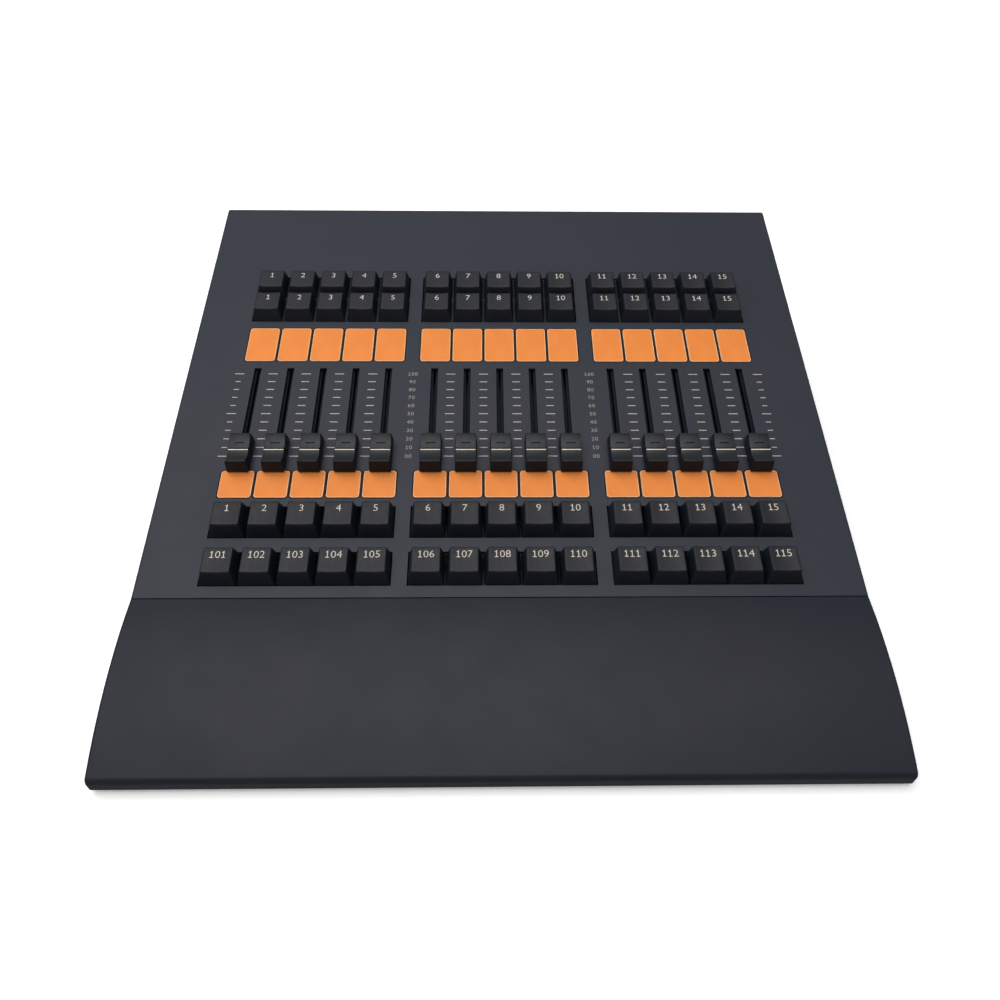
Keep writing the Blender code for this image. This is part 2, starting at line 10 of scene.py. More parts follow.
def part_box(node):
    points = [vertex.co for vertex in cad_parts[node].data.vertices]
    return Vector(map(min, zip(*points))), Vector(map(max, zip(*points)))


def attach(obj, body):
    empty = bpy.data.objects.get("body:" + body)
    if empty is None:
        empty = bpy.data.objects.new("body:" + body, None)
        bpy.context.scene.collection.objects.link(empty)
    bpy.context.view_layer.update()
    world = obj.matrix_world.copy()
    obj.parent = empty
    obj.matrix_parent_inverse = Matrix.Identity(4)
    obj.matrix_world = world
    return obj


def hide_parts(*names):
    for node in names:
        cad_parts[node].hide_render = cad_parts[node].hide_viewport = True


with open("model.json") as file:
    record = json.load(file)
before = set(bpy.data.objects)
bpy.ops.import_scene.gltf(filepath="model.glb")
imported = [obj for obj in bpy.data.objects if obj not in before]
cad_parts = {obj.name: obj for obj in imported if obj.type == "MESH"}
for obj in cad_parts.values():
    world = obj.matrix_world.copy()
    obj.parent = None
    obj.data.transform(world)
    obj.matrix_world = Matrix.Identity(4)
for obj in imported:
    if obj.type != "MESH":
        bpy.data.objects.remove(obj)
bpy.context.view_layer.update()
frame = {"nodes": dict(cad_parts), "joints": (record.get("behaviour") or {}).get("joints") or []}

MM = 0.001

# Sheet metal
SHEET = 2 * MM
BEND_RADIUS = 1.5 * MM
BEND_STEPS = 6
BEND_ANGLE = math.radians(40)    # sharper edges than this are bends
GAP = 0.3 * MM                   # between parts that fit together
CUT_EDGE = 0.15 * MM             # the small round along every cut edge
CUT_EDGE_ANGLE = math.radians(50)
CUT_MARGIN = 3 * SHEET           # how far a cutter reaches in from the outer face
PART_EDGE = 0.2 * MM             # the round on bars and carriers under the panel
EDGE_STEPS = 3
RING_CORNER_STEPS = 5
RING_SIDE_STEPS = 6

# Palm rest
REST_RADIUS = 238 * MM
REST_ARC = 85.2 * MM
REST_START_SLOPE = math.radians(1)
REST_ARC_STEPS = 48
NOSE_RADIUS = 3.5 * MM
NOSE_STEPS = 10

# Control grid
PITCH = 19.05 * MM
PER_GROUP = 5
SIDES = ("left", "middle", "right")
GROUPS = len(SIDES)
CHANNELS = GROUPS * PER_GROUP

# Keys
KEY_SKIRT = 0.8 * MM
KEY_HEIGHT = 6.8 * MM
KEY_BASE = 18.3 * MM
KEY_TOP = (14.3 * MM, 14 * MM)
KEY_TOP_SHIFT = 1.85 * MM        # the top is set back, so the front wall slopes most
KEY_WALL = 1.4 * MM
KEY_CORNER = 0.9 * MM
KEY_RIM = 0.15 * MM              # the bevel round the skirt's lower edge
KEY_EDGE = 0.45 * MM             # the round where the walls meet the top
KEY_EDGE_STEPS = 3
KEY_DISH = 0.5 * MM
KEY_WALL_DISH = 0.3              # part of the dish that shows halfway up the walls
KEY_FACE_SCALES = (0.8, 0.55, 0.3, 0.1)   # rings across the top, as parts of its size
KEY_FACE_CORNER = 0.4 * MM
KEY_CLEARANCE = 0.4 * MM
STEM_SIZE = 5.6 * MM
STEM_DEPTH = 8.5 * MM
STEM_EDGE = 0.4 * MM
STEM_OVERLAP = 0.3 * MM          # into the underside of the key's top
CARRIER_TOP = -0.3 * MM          # a rear bank's carrier, just below the panel's face
CARRIER_THICKNESS = 1.2 * MM

# Fader caps
CAP_WIDTHS = (11.8 * MM, 10.8 * MM)   # at the foot and at the top
CAP_FOOT = 1 * MM
CAP_HALF = (11 * MM, 9.5 * MM)        # half length at the foot and below the top edge
CAP_END_HEIGHT = 8.6 * MM
CAP_DISH_HEIGHT = 6.4 * MM
CAP_DISH_SAG = 0.35 * MM
CAP_DISH_POWER = 0.8                  # the dish falls faster at first than along a straight line
CAP_DISH_STEPS = 12
CAP_CORNER = 0.6 * MM
CAP_CORNER_STEPS = 4
CAP_RIDGE_HALF = 0.42 * MM
CAP_RIDGE_HEIGHT = 6.8 * MM
CAP_RIDGE_SHIFT = -0.5 * MM           # from the cap's middle
CAP_GROOVE = (1.0 * MM, 0.9 * MM)     # width and depth, behind the ridge
CAP_SLIT = (5.2 * MM, 0.6 * MM, 0.5 * MM)   # width, length and depth
CAP_SLIT_BACK = 4.0 * MM              # behind the cap's middle
CAP_EDGE = 0.25 * MM
CAP_TOP_FACING = 0.6                  # faces turned up more than this keep the cap's plastic; the others get painted shade
CAP_SIDE_FACING = 0.9                 # faces turned sideways more than this are the cap's sides
POINTER_INSET = 0.08 * MM             # the painted line, in from the ridge's front and back
POINTER_SIDE_INSET = 0.1 * MM
POINTER_PROUD = 0.1 * MM
POINTER_DEPTH = 0.4 * MM
BLADE = (Vector((-0.6, -2, -9.5)) * MM, Vector((0.6, 2, 2.5)) * MM)
BLADE_EDGE = 0.15 * MM
CARRIAGE = (Vector((-1.4, -4.5, -11)) * MM, Vector((1.4, 4.5, -8)) * MM)
SLOT_WIDTH = 4.1 * MM
SLOT_MARGIN = 2.6 * MM
FADER_TRAVEL = 60 * MM
DUST_GAP = 1.4 * MM              # between the two dust strips of a slot
DUST_OVERLAP = 1.2 * MM
DUST_THICKNESS = 0.3 * MM
DUST_DROP = 0.1 * MM             # below the sheet

# Labels
LENS_SIZE_X = 17.5 * MM
LENS_RADIUS = 1.5 * MM
# mm in from the lens's outline and up from the panel, from its foot to its sunk face
LENS_SECTION = ((0.0, -3.1), (0.0, 0.15), (0.05, 0.25), (0.15, 0.3), (0.30, 0.3), (0.42, 0.2))
WINDOW_GAP = 0.3 * MM
STRIP_BORDER = 1.6 * MM
LABEL_BAR = 1.7 * MM             # the thickness of the bar behind the lenses
# the ring of painted shade round each label window
GAP_SHADE_START = 0.05 * MM       # from the window's edge
GAP_SHADE_WIDTH = 0.42 * MM

# Printed legends
INK = 0.03 * MM
KEY_DIGIT_HEIGHT = 3.85 * MM
KEY_DIGIT_SHIFT = 4.9 * MM       # digits behind the key's centre
SCALE_DIGIT_HEIGHT = 2.4 * MM
SCALE_DIGIT_ADVANCE = 0.84
SCALE_NUMBER_SHIFT = 0.9 * MM    # numbers right of the middle between two groups
SCALE_MARKS = 11
DIGIT_ADVANCE = 0.76             # of the digit's height
DIGIT_THINNING = -0.010          # of the type size, off each side of a stroke
DIGIT_STRETCH = 1.04             # sideways
DIGIT_CURVE_STEPS = 3
SAME_POINT = 0.002 * MM          # points nearer than this become one
TICK_STEP = 5.83 * MM
TICK_ZERO = 84.5 * MM            # the zero tick, up the slope from the seam
TICK_LENGTHS = (5.3 * MM, 4.4 * MM)
TICK_SHORT = 3 * MM              # small ticks of the two outermost columns
TICK_THICKNESS = 0.5 * MM
TICK_OFFSETS = (-0.535 * PITCH, 0.50 * PITCH, 0.54 * PITCH)   # from the slot, group by group
TICK_SPREADS = (0.015 * PITCH, 0.0, 0.005 * PITCH)            # more for each further column of the group

# Studio: the room's brightness runs from the third number to the fourth as a direction's part
# along ROOM_UP goes from the first to the second
ROOM_UP = (-0.12, 0.0, 0.99)
ROOM_GLOW = (0.74, 1.0, 0.28, 2.85)
FLOOR_GLOW = 0.22                # lifts the floor to white far from the light, too
FLOOR_ALBEDO = 0.97
FLOOR_HALF = 6                   # half its side, in metres
BACKDROP_RADIUS = 5.9            # in metres, so that it meets the floor inside the floor's edges
LIGHT_PLACE = (-0.75, 0.55, 1.05)
LIGHT_SIZE = 1.0
LIGHT_POWER = 8
CAMERA_PLACE = Vector((-8.53, -165.52, 360.21)) * MM   # in the panel's frame
CAMERA_TURN = (43.626, -0.701, -0.793)                 # in degrees
CAMERA_LENS = 28.8
CAMERA_SENSOR = 36
CAMERA_NEAR = 0.01

# Feet and screws
FOOT_HEIGHT = 3 * MM
FOOT_RADIUS = 8 * MM
FOOT_STRAIGHT = 0.55             # part of the height where the side starts to curve in
FOOT_ROUND = ((0.4, 0.5), (0.9, 0.12), (1.5, 0))       # mm in from the side and up from the table
FOOT_RECESS = ((3.9, 0), (3.6, 0.2), (3.5, 1.3))       # mm from the axis and up from the table
FOOT_SCREW = (2.6 * MM, 1.0 * MM)     # a screw head's radius and height
BASE_SCREW = (2.9 * MM, 1.7 * MM)
BASE_SCREW_INSET = 9 * MM
SCREW_HEAD = ((1, 0), (1, 0.35), (0.92, 0.68), (0.70, 0.92), (0.40, 1))   # parts of radius and height
SCREW_SHANK = 0.55               # part of the head's radius
SHANK_LENGTH = 1.0 * MM
SCREW_CROSS = (0.62, 0.13)       # half length and half width of an arm, parts of the head's radius
CROSS_FLOOR = 0.35               # part of the head's height left above the cross

# Sockets
SOCKET_HEIGHT = 38 * MM
SOCKET_EDGE = 0.4 * MM
SOCKET_DEPTH = 9.5 * MM          # of the hole
USB_HOLE = (8.5 * MM, 7.8 * MM, 0.5 * MM)     # width, height and corner radius
USB_TONGUE = (5.6 * MM, 3.2 * MM, 0.3 * MM)
TONGUE_SETBACK = 0.8 * MM
POWER_HOLE = 3.2 * MM            # radius
PIN_SECTION = ((0, 0), (1.0, 0), (1.0, 7.6), (0.7, 8.2), (0, 8.4))     # mm from the axis and along it
INSERT_START = 9.6 * MM          # the tongue and the pin start just past the hole's floor
BOARD_HALF = 0.8 * MM            # half the connector board's thickness
BOARD_SETBACK = 2.3 * MM
BOARD_EDGE = 0.1 * MM
POST_RADIUS = 3 * MM
POST_INSET = 6 * MM


def panel_frame():
    """The sloping panel's own frame: x right, y up the slope from the front seam, z out of the panel."""
    joint = next(j for j in frame["joints"] if j["name"] == "fader_01_slide")
    tilt = math.atan2(joint["axis"][2], joint["axis"][1])
    seam_y = (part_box("palm_rest")[1].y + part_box("upper_case")[0].y) / 2
    return Matrix.Translation((0, seam_y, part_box("palm_rest")[1].z)) @ Matrix.Rotation(tilt, 4, "X")


PANEL = panel_frame()
SEAM = PANEL.translation
TILT = PANEL.to_euler().x


def panel_box(node):
    """A node's lowest and highest corner in the panel's frame."""
    to_panel = PANEL.inverted()
    places = [to_panel @ vertex.co for vertex in frame["nodes"][node].data.vertices]
    return (Vector(min(place[axis] for place in places) for axis in range(3)),
            Vector(max(place[axis] for place in places) for axis in range(3)))


def panel_centre(node):
    low, high = panel_box(node)
    return (low + high) / 2


def fader_x(channel):
    """Where a channel's column stands, counted from 0."""
    return panel_centre(f"fader_{channel + 1:02d}").x


# ---------------------------------------------------------------- materials

RANGE_SOCKETS = ("From Min", "From Max", "To Min", "To Max")


class Surface:
    """A node material: a Principled shader fed by a few patterns in object space."""

    def __init__(self, name, colour, roughness, metallic=0.0, specular=0.5):
        self.material = bpy.data.materials.new(name)
        self.material.use_nodes = True
        self.tree = self.material.node_tree
        self.shader = self.tree.nodes["Principled BSDF"]
        self.shader.inputs["Metallic"].default_value = metallic
        self.shader.inputs["Specular IOR Level"].default_value = specular
        self.coordinates = self.node("ShaderNodeTexCoord").outputs["Object"]
        self.colour = self.solid(colour)
        self.roughness = roughness

    def node(self, kind, **settings):
        made = self.tree.nodes.new(kind)
        for key, value in settings.items():
            setattr(made, key, value)
        return made

    def join(self, source, target):
        self.tree.links.new(source, target)

    def solid(self, colour):
        made = self.node("ShaderNodeRGB")
        made.outputs[0].default_value = (*colour, 1)
        return made.outputs[0]

    def noise(self, size, detail, stretch=(1, 1, 1)):
        """Noise whose lumps are about size metres across."""
        mapping = self.node("ShaderNodeMapping")
        mapping.inputs["Scale"].default_value = stretch
        self.join(self.coordinates, mapping.inputs["Vector"])
        made = self.node("ShaderNodeTexNoise")
        made.inputs["Scale"].default_value = 1 / size
        made.inputs["Detail"].default_value = detail
        self.join(mapping.outputs["Vector"], made.inputs["Vector"])
        return made.outputs["Fac"]

    def ramp(self, value, low, high, out_low=0.0, out_high=1.0):
        made = self.node("ShaderNodeMapRange")
        for key, number in zip(RANGE_SOCKETS, (low, high, out_low, out_high)):
            made.inputs[key].default_value = number
        self.join(value, made.inputs["Value"])
        return made.outputs["Result"]

    def mix_in(self, colour, amount):
        """Mixes another colour into the base colour by a pattern."""
        made = self.node("ShaderNodeMix", data_type="RGBA")
        self.join(amount, made.inputs["Factor"])
        self.join(self.colour, made.inputs["A"])
        made.inputs["B"].default_value = (*colour, 1)
        self.colour = made.outputs["Result"]

    def cloud(self, colour, size, detail, low, high, most=1.0, stretch=(1, 1, 1)):
        """Mixes a colour in, in lumps: none where the noise is under low, the most where it is over high."""
        self.mix_in(colour, self.ramp(self.noise(size, detail, stretch), low, high, 0, most))

    def wear(self, colour, radius, patches):
        """Mixes a colour in along edges sharper than the radius, more in some patches than in others."""
        rounded = self.node("ShaderNodeBevel", samples=4)
        rounded.inputs["Radius"].default_value = radius
        geometry = self.node("ShaderNodeNewGeometry")
        dot = self.node("ShaderNodeVectorMath", operation="DOT_PRODUCT")
        self.join(rounded.outputs["Normal"], dot.inputs[0])
        self.join(geometry.outputs["Normal"], dot.inputs[1])
        both = self.node("ShaderNodeMath", operation="MULTIPLY")
        self.join(self.ramp(dot.outputs["Value"], 0.98, 0.86), both.inputs[0])
        self.join(patches, both.inputs[1])
        self.mix_in(colour, both.outputs[0])

    def finish(self, rough_pattern, rough_spread, bump_pattern, bump_height):
        """Links colour, roughness and bump, and gives the finished material."""
        self.join(self.colour, self.shader.inputs["Base Color"])
        rough = self.ramp(rough_pattern, 0.3, 0.7,
                          self.roughness - rough_spread, self.roughness + rough_spread)
        self.join(rough, self.shader.inputs["Roughness"])
        bump = self.node("ShaderNodeBump")
        bump.inputs["Distance"].default_value = bump_height
        bump.inputs["Strength"].default_value = 1.0
        self.join(bump_pattern, bump.inputs["Height"])
        self.join(bump.outputs["Normal"], self.shader.inputs["Normal"])
        return self.material


def powder_coat(name, colour, warmer, bluer, specular):
    """Satin powder coat: a fine grain, faintly cloudy, a little polished along the edges."""
    paint = Surface(name, colour, 0.45, specular=specular)
    paint.cloud(warmer, 0.09, 3, 0.35, 0.65)
    paint.cloud(bluer, 0.13, 2, 0.45, 0.75, stretch=(1, 1.6, 1))
    paint.cloud((0.038, 0.041, 0.051), 0.0006, 2, 0.62, 0.80, 0.4)
    paint.wear((0.060, 0.064, 0.074), 0.4 * MM, paint.ramp(paint.noise(0.012, 5), 0.40, 0.70, 0.10, 0.55))
    return paint.finish(paint.noise(0.02, 5), 0.03, paint.noise(0.0009, 2), 0.012 * MM)


def moulded(name, colour, lighter, roughness, grain, grain_height, worn, specular=0.5):
    """Textured moulded plastic: cloudy tone, spark-eroded grain and worn edges."""
    plastic = Surface(name, colour, roughness, specular=specular)
    plastic.cloud(lighter, 0.006, 4, 0.35, 0.75, 0.7)
    plastic.wear(worn, 0.35 * MM, plastic.ramp(plastic.noise(0.004, 4), 0.35, 0.65, 0.2, 1))
    return plastic.finish(plastic.noise(0.003, 4), 0.07, plastic.noise(grain, 2), grain_height)


def orange_label():
    """The label's face: an even orange with faint long streaks."""
    face = Surface("label_face", (0.74, 0.215, 0.032), 0.50, specular=0.35)
    face.cloud((0.80, 0.245, 0.042), 0.010, 3, 0.35, 0.70, 0.8, stretch=(1, 0.35, 1))
    face.cloud((0.64, 0.18, 0.030), 0.0004, 2, 0.60, 0.80, 0.25)
    return face.finish(face.noise(0.004, 4), 0.05, face.noise(0.0005, 2), 0.006 * MM)


def orange_rim():
    """The lens's bevelled rim, painted lighter than the face: a painted highlight where light catches the
    bevel.
    """
    rim = Surface("label_rim_painted_highlight", (0.84, 0.45, 0.22), 0.45, specular=0.3)
    rim.cloud((0.88, 0.57, 0.36), 0.003, 3, 0.40, 0.70)
    return rim.finish(rim.noise(0.002, 3), 0.05, rim.noise(0.0006, 2), 0.004 * MM)


def legend_ink(name, colour, warmer):
    """Screen-printed ink, warm grey-white, a little uneven."""
    ink = Surface(name, colour, 0.60, specular=0.3)
    ink.cloud(warmer, 0.012, 2, 0.42, 0.66)
    ink.cloud((0.16, 0.14, 0.13), 0.0004, 3, 0.50, 0.85, 0.5)
    return ink.finish(ink.noise(0.001, 3), 0.08, ink.noise(0.0003, 2), 0.004 * MM)


def rubber():
    black = Surface("foot_rubber", (0.014, 0.014, 0.014), 0.82)
    black.cloud((0.045, 0.043, 0.040), 0.003, 5, 0.50, 0.80, 0.6)
    return black.finish(black.noise(0.002, 4), 0.08, black.noise(0.0005, 3), 0.03 * MM)


def plated_steel():
    """Zinc-plated steel: faint spangle, fine rolling lines along x."""
    steel = Surface("plated_steel", (0.50, 0.51, 0.53), 0.38, metallic=1.0)
    steel.cloud((0.36, 0.38, 0.42), 0.004, 5, 0.40, 0.70)
    lines = steel.noise(0.0008, 3, (0.02, 1, 1))
    return steel.finish(lines, 0.10, lines, 0.004 * MM)


def circuit_board():
    """Green solder mask over copper traces that run across the board."""
    board = Surface("circuit_board", (0.010, 0.060, 0.025), 0.35)
    traces = board.ramp(board.noise(0.004, 1, (0.15, 1, 1)), 0.52, 0.54)
    board.mix_in((0.020, 0.110, 0.045), traces)
    board.cloud((0.006, 0.035, 0.016), 0.02, 3, 0.45, 0.75)
    return board.finish(board.noise(0.006, 3), 0.06, traces, 0.03 * MM)


PAINT = powder_coat("case_paint", (0.0155, 0.0182, 0.0295), (0.0190, 0.0206, 0.0315),
                    (0.0140, 0.0182, 0.0300), 0.33)
# painted shade: a darker copy of the case's paint, which makes the palm rest look darker than the panel
REST_SHADED_PAINT = powder_coat("rest_shaded_paint", (0.0080, 0.0093, 0.0180), (0.0105, 0.0113, 0.0190),
                         (0.0065, 0.0097, 0.0185), 0.29)
KEY_PLASTIC = moulded("key_plastic", (0.0080, 0.0105, 0.0150), (0.0100, 0.0126, 0.0174), 0.45,
                      0.0004, 0.008 * MM, (0.015, 0.017, 0.022), specular=0.17)
KEY_TOP_PLASTIC = moulded("key_top", (0.0074, 0.0078, 0.0122), (0.0100, 0.0104, 0.0150), 0.42,
                          0.0005, 0.006 * MM, (0.090, 0.092, 0.100), specular=0.32)
REAR_TOP_PLASTIC = moulded("rear_key_top", (0.0068, 0.0078, 0.0120), (0.0090, 0.0100, 0.0145), 0.42,
                           0.0005, 0.006 * MM, (0.045, 0.047, 0.056), specular=0.34)
CAP_PLASTIC = moulded("cap_plastic", (0.0085, 0.0100, 0.0130), (0.0120, 0.0136, 0.0168), 0.42,
                      0.0004, 0.008 * MM, (0.032, 0.034, 0.041), specular=0.36)
# painted shade: near-black plastic for the walls and floor of the groove behind the fader's ridge
CAP_GROOVE_SHADE = moulded("cap_groove_painted_shade", (0.0020, 0.0024, 0.0034), (0.0028, 0.0032, 0.0042), 0.60,
                             0.0004, 0.008 * MM, (0.0045, 0.0050, 0.0060), specular=0.1)
# painted shade: a bluer, less glossy copy of the cap's plastic for its sides and ends
CAP_SIDE_SHADE = moulded("cap_side_painted_shade", (0.0070, 0.0120, 0.0175), (0.0095, 0.0150, 0.0205), 0.45,
                           0.0004, 0.008 * MM, (0.022, 0.026, 0.031), specular=0.15)
TRACK_PLASTIC = moulded("fader_track", (0.006, 0.007, 0.011), (0.008, 0.010, 0.015), 0.55,
                        0.0006, 0.010 * MM, (0.010, 0.012, 0.019))
DUST_STRIP = moulded("dust_strip", (0.0038, 0.0055, 0.0115), (0.0050, 0.0070, 0.0135), 0.60,
                     0.0006, 0.010 * MM, (0.008, 0.010, 0.017), specular=0.12)
# painted shade: the dark gap round each label window, a little orange from the lenses
LABEL_GAP_SHADE = moulded("label_gap_painted_shade", (0.012, 0.005, 0.004), (0.017, 0.008, 0.006), 0.60,
                   0.0006, 0.004 * MM, (0.022, 0.011, 0.008), specular=0.08)
WHITE_PLASTIC = moulded("socket_tongue", (0.60, 0.60, 0.58), (0.66, 0.66, 0.64), 0.40,
                        0.0006, 0.006 * MM, (0.72, 0.72, 0.70))
ORANGE = orange_label()
ORANGE_RIM_HIGHLIGHT = orange_rim()
SCALE_INK = legend_ink("scale_ink", (0.50, 0.45, 0.44), (0.54, 0.42, 0.34))
NUMBER_INK = legend_ink("number_ink", (0.36, 0.33, 0.33), (0.38, 0.31, 0.27))
KEY_INK = legend_ink("key_ink", (0.60, 0.56, 0.52), (0.62, 0.50, 0.40))
POINTER_INK = legend_ink("pointer_ink", (0.72, 0.64, 0.56), (0.74, 0.58, 0.45))
RUBBER = rubber()
STEEL = plated_steel()
BOARD = circuit_board()


# ---------------------------------------------------------------- mesh helpers

def mesh_from(name, bm, *materials, smooth_angle=35):
    """Turns a bmesh into a mesh, smooth apart from edges sharper than the angle."""
    bmesh.ops.recalc_face_normals(bm, faces=bm.faces)
    mesh = bpy.data.meshes.new(name)
    bm.to_mesh(mesh)
    bm.free()
    for material in materials:
        mesh.materials.append(material)
    mesh.shade_smooth()
    mesh.set_sharp_from_angle(angle=math.radians(smooth_angle))
    return mesh


def add_piece(name, mesh, body, place=None, replaces=()):
    """Puts a mesh in the scene, in the desk's frame, and says what it rides on and stands for."""
    piece = bpy.data.objects.new(name, mesh)
    bpy.context.scene.collection.objects.link(piece)
    piece.matrix_world = place or Matrix.Identity(4)
    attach(piece, body)
    if replaces:
        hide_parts(*replaces)
    return piece


def add_formed(name, bm, material, body="desk", replaces=()):
    """Makes a piece of a form that is already where it belongs in the desk's frame."""
    return add_piece(name, mesh_from(name, bm, material), body, replaces=replaces)


def put_on_panel(bm):
    """Moves a form from the panel's frame to the desk's."""
    bmesh.ops.transform(bm, matrix=PANEL, verts=bm.verts)


def add_box(bm, low, high):
    """Adds a box between two corners and gives its vertices."""
    low, high = Vector(low), Vector(high)
    place = Matrix.Translation((low + high) / 2) @ Matrix.Diagonal((*(high - low), 1))
    return bmesh.ops.create_cube(bm, size=1, matrix=place)["verts"]


def ring(half_x, half_y, radius, side_steps=RING_SIDE_STEPS):
    """A rounded rectangle's points, anticlockwise, the same number for any size."""
    points = []
    signs = ((1, 1), (-1, 1), (-1, -1), (1, -1))
    for quarter, (sign_x, sign_y) in enumerate(signs):
        centre = Vector((sign_x * (half_x - radius), sign_y * (half_y - radius)))
        for step in range(RING_CORNER_STEPS + 1):
            angle = math.pi / 2 * (quarter + step / RING_CORNER_STEPS)
            points.append(centre + radius * Vector((math.cos(angle), math.sin(angle))))
        next_x, next_y = signs[(quarter + 1) % 4]
        angle = math.pi / 2 * (quarter + 1)
        end = (Vector((next_x * (half_x - radius), next_y * (half_y - radius)))
               + radius * Vector((math.cos(angle), math.sin(angle))))
        start = points[-1]
        points.extend(start.lerp(end, step / side_steps) for step in range(1, side_steps))
    return points


def loft(bm, rings, close_start=None, close_end=None):
    """Skins a list of rings, each a list of 3-D points. Gives the faces made, ring by ring.

    Each end is left open, or closed to a point: True means the ring's middle.
    """
    rows = [[bm.verts.new(point) for point in points] for points in rings]
    bands = []
    for lower, upper in zip(rows, rows[1:]):
        count = len(lower)
        bands.append([bm.faces.new((lower[a], lower[(a + 1) % count], upper[(a + 1) % count], upper[a]))
                      for a in range(count)])
    for tip, row in ((close_start, rows[0]), (close_end, rows[-1])):
        if tip is not None:
            count = len(row)
            place = sum((vertex.co for vertex in row), Vector()) / count if tip is True else tip
            middle = bm.verts.new(place)
            bands.append([bm.faces.new((row[a], row[(a + 1) % count], middle)) for a in range(count)])
    return bands


def bevel(bm, edges, radius, steps):
    bmesh.ops.bevel(bm, geom=edges, offset=radius, segments=steps, profile=0.5, affect="EDGES")


def rounded_box(bm, low, high, radius):
    """Adds a box with every edge rounded."""
    corners = add_box(bm, low, high)
    bevel(bm, list({edge for corner in corners for edge in corner.link_edges}), radius, EDGE_STEPS)


def evaluated_mesh(drawn):
    """The mesh that an object comes to with its modifiers or its text."""
    bpy.context.view_layer.update()
    return bpy.data.meshes.new_from_object(drawn.evaluated_get(bpy.context.evaluated_depsgraph_get()))


def lathe(bm, outline, centre, sides=32):
    """Turns a list of (radius, height) points round z, from one point on the axis to another."""
    centre = Vector(centre)
    rings = []
    for radius, height in outline[1:-1]:
        rings.append([centre + Vector((radius * math.cos(math.tau * step / sides),
                                       radius * math.sin(math.tau * step / sides), height))
                      for step in range(sides)])
    first, last = (centre + Vector((0, 0, outline[end][1])) for end in (0, -1))
    loft(bm, rings, first, last)


def extrude_profile(outline, width):
    """A closed (y, z) outline given a width along x."""
    bm = bmesh.new()
    left = [bm.verts.new((-width / 2, y, z)) for y, z in outline]
    right = [bm.verts.new((width / 2, y, z)) for y, z in outline]
    count = len(outline)
    for a in range(count):
        b = (a + 1) % count
        bm.faces.new((left[a], left[b], right[b], right[a]))
    bm.faces.new(left)
    bm.faces.new(list(reversed(right)))
    bmesh.ops.recalc_face_normals(bm, faces=bm.faces)
    return bm


def carve(target_bm, tool_bm):
    """Cuts one closed form out of another and gives the result as a bmesh."""
    objects = []
    for name, bm in (("target", target_bm), ("tool", tool_bm)):
        mesh = bpy.data.meshes.new(name)
        bm.to_mesh(mesh)
        bm.free()
        made = bpy.data.objects.new(name, mesh)
        bpy.context.scene.collection.objects.link(made)
        objects.append(made)
    modifier = objects[0].modifiers.new("cut", "BOOLEAN")
    modifier.operation = "DIFFERENCE"
    modifier.solver = "EXACT"
    modifier.object = objects[1]
    cut = evaluated_mesh(objects[0])
    for made in objects:
        bpy.data.objects.remove(made)
    result = bmesh.new()
    result.from_mesh(cut)
    bpy.data.meshes.remove(cut)
    return result


def soften_cut_edges(piece):
    """Rounds every sharp edge a little and keeps the flat faces flat."""
    rounding = piece.modifiers.new("cut_edges", "BEVEL")
    rounding.width = CUT_EDGE
    rounding.segments = 2
    rounding.limit_method = "ANGLE"
    rounding.angle_limit = CUT_EDGE_ANGLE
    rounding.miter_outer = "MITER_ARC"
    normals = piece.modifiers.new("normals", "WEIGHTED_NORMAL")
    normals.keep_sharp = True


# ---------------------------------------------------------------- case

def on_arc(centre, radius, slope):
    """The point of an arc where its surface slopes down towards the front at this angle."""
    return centre[0] - radius * math.sin(slope), centre[1] + radius * math.cos(slope)


def rest_outline(inset, back_y, floor_z):
    """The palm rest's side view, an inset inside its outer face."""
    front_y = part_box("palm_rest")[0].y
    nose_slope = REST_START_SLOPE + REST_ARC / REST_RADIUS
    centre = (SEAM.y + REST_RADIUS * math.sin(REST_START_SLOPE),
              SEAM.z - REST_RADIUS * math.cos(REST_START_SLOPE))
    points = [(back_y, SEAM.z - inset)]
    for step in range(1, REST_ARC_STEPS + 1):
        slope = REST_START_SLOPE + (nose_slope - REST_START_SLOPE) * step / REST_ARC_STEPS
        points.append(on_arc(centre, REST_RADIUS - inset, slope))
    nose = on_arc(centre, REST_RADIUS - NOSE_RADIUS, nose_slope)
    for step in range(1, NOSE_STEPS + 1):
        slope = nose_slope + (math.pi / 2 - nose_slope) * step / NOSE_STEPS
        points.append(on_arc(nose, NOSE_RADIUS - inset, slope))
    return points + [(front_y + inset, floor_z), (back_y, floor_z)]


def round_bends(bm, open_y):
    """Rounds a shell's bends, but not the rims of its open underside and its open end."""
    def on_rim(edge):
        return (all(abs(corner.co.z - FOOT_HEIGHT) < GAP / 2 for corner in edge.verts)
                or all(abs(corner.co.y - open_y) < GAP / 2 for corner in edge.verts))

    bends = [edge for edge in bm.edges if edge.calc_face_angle(0) > BEND_ANGLE and not on_rim(edge)]
    bevel(bm, bends, BEND_RADIUS, BEND_STEPS)


def make_palm_rest():
    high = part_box("palm_rest")[1]
    outer = extrude_profile(rest_outline(0, high.y, FOOT_HEIGHT), 2 * high.x)
    round_bends(outer, high.y)
    inner = extrude_profile(rest_outline(SHEET, high.y + SHEET, 0), 2 * (high.x - SHEET))
    shell = carve(outer, inner)
    soften_cut_edges(add_formed("palm_rest_cover", shell, REST_SHADED_PAINT,
                                replaces=("palm_rest",)))


def case_outline(inset, front_y, floor_z):
    """The wedge's side view, an inset inside its outer face."""
    rear_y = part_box("upper_case")[1].y
    slope = math.tan(TILT)
    drop = inset / math.cos(TILT)
    return ((front_y, floor_z), (rear_y - inset, floor_z),
            (rear_y - inset, SEAM.z + (rear_y - inset - SEAM.y) * slope - drop),
            (front_y, SEAM.z + (front_y - SEAM.y) * slope - drop))


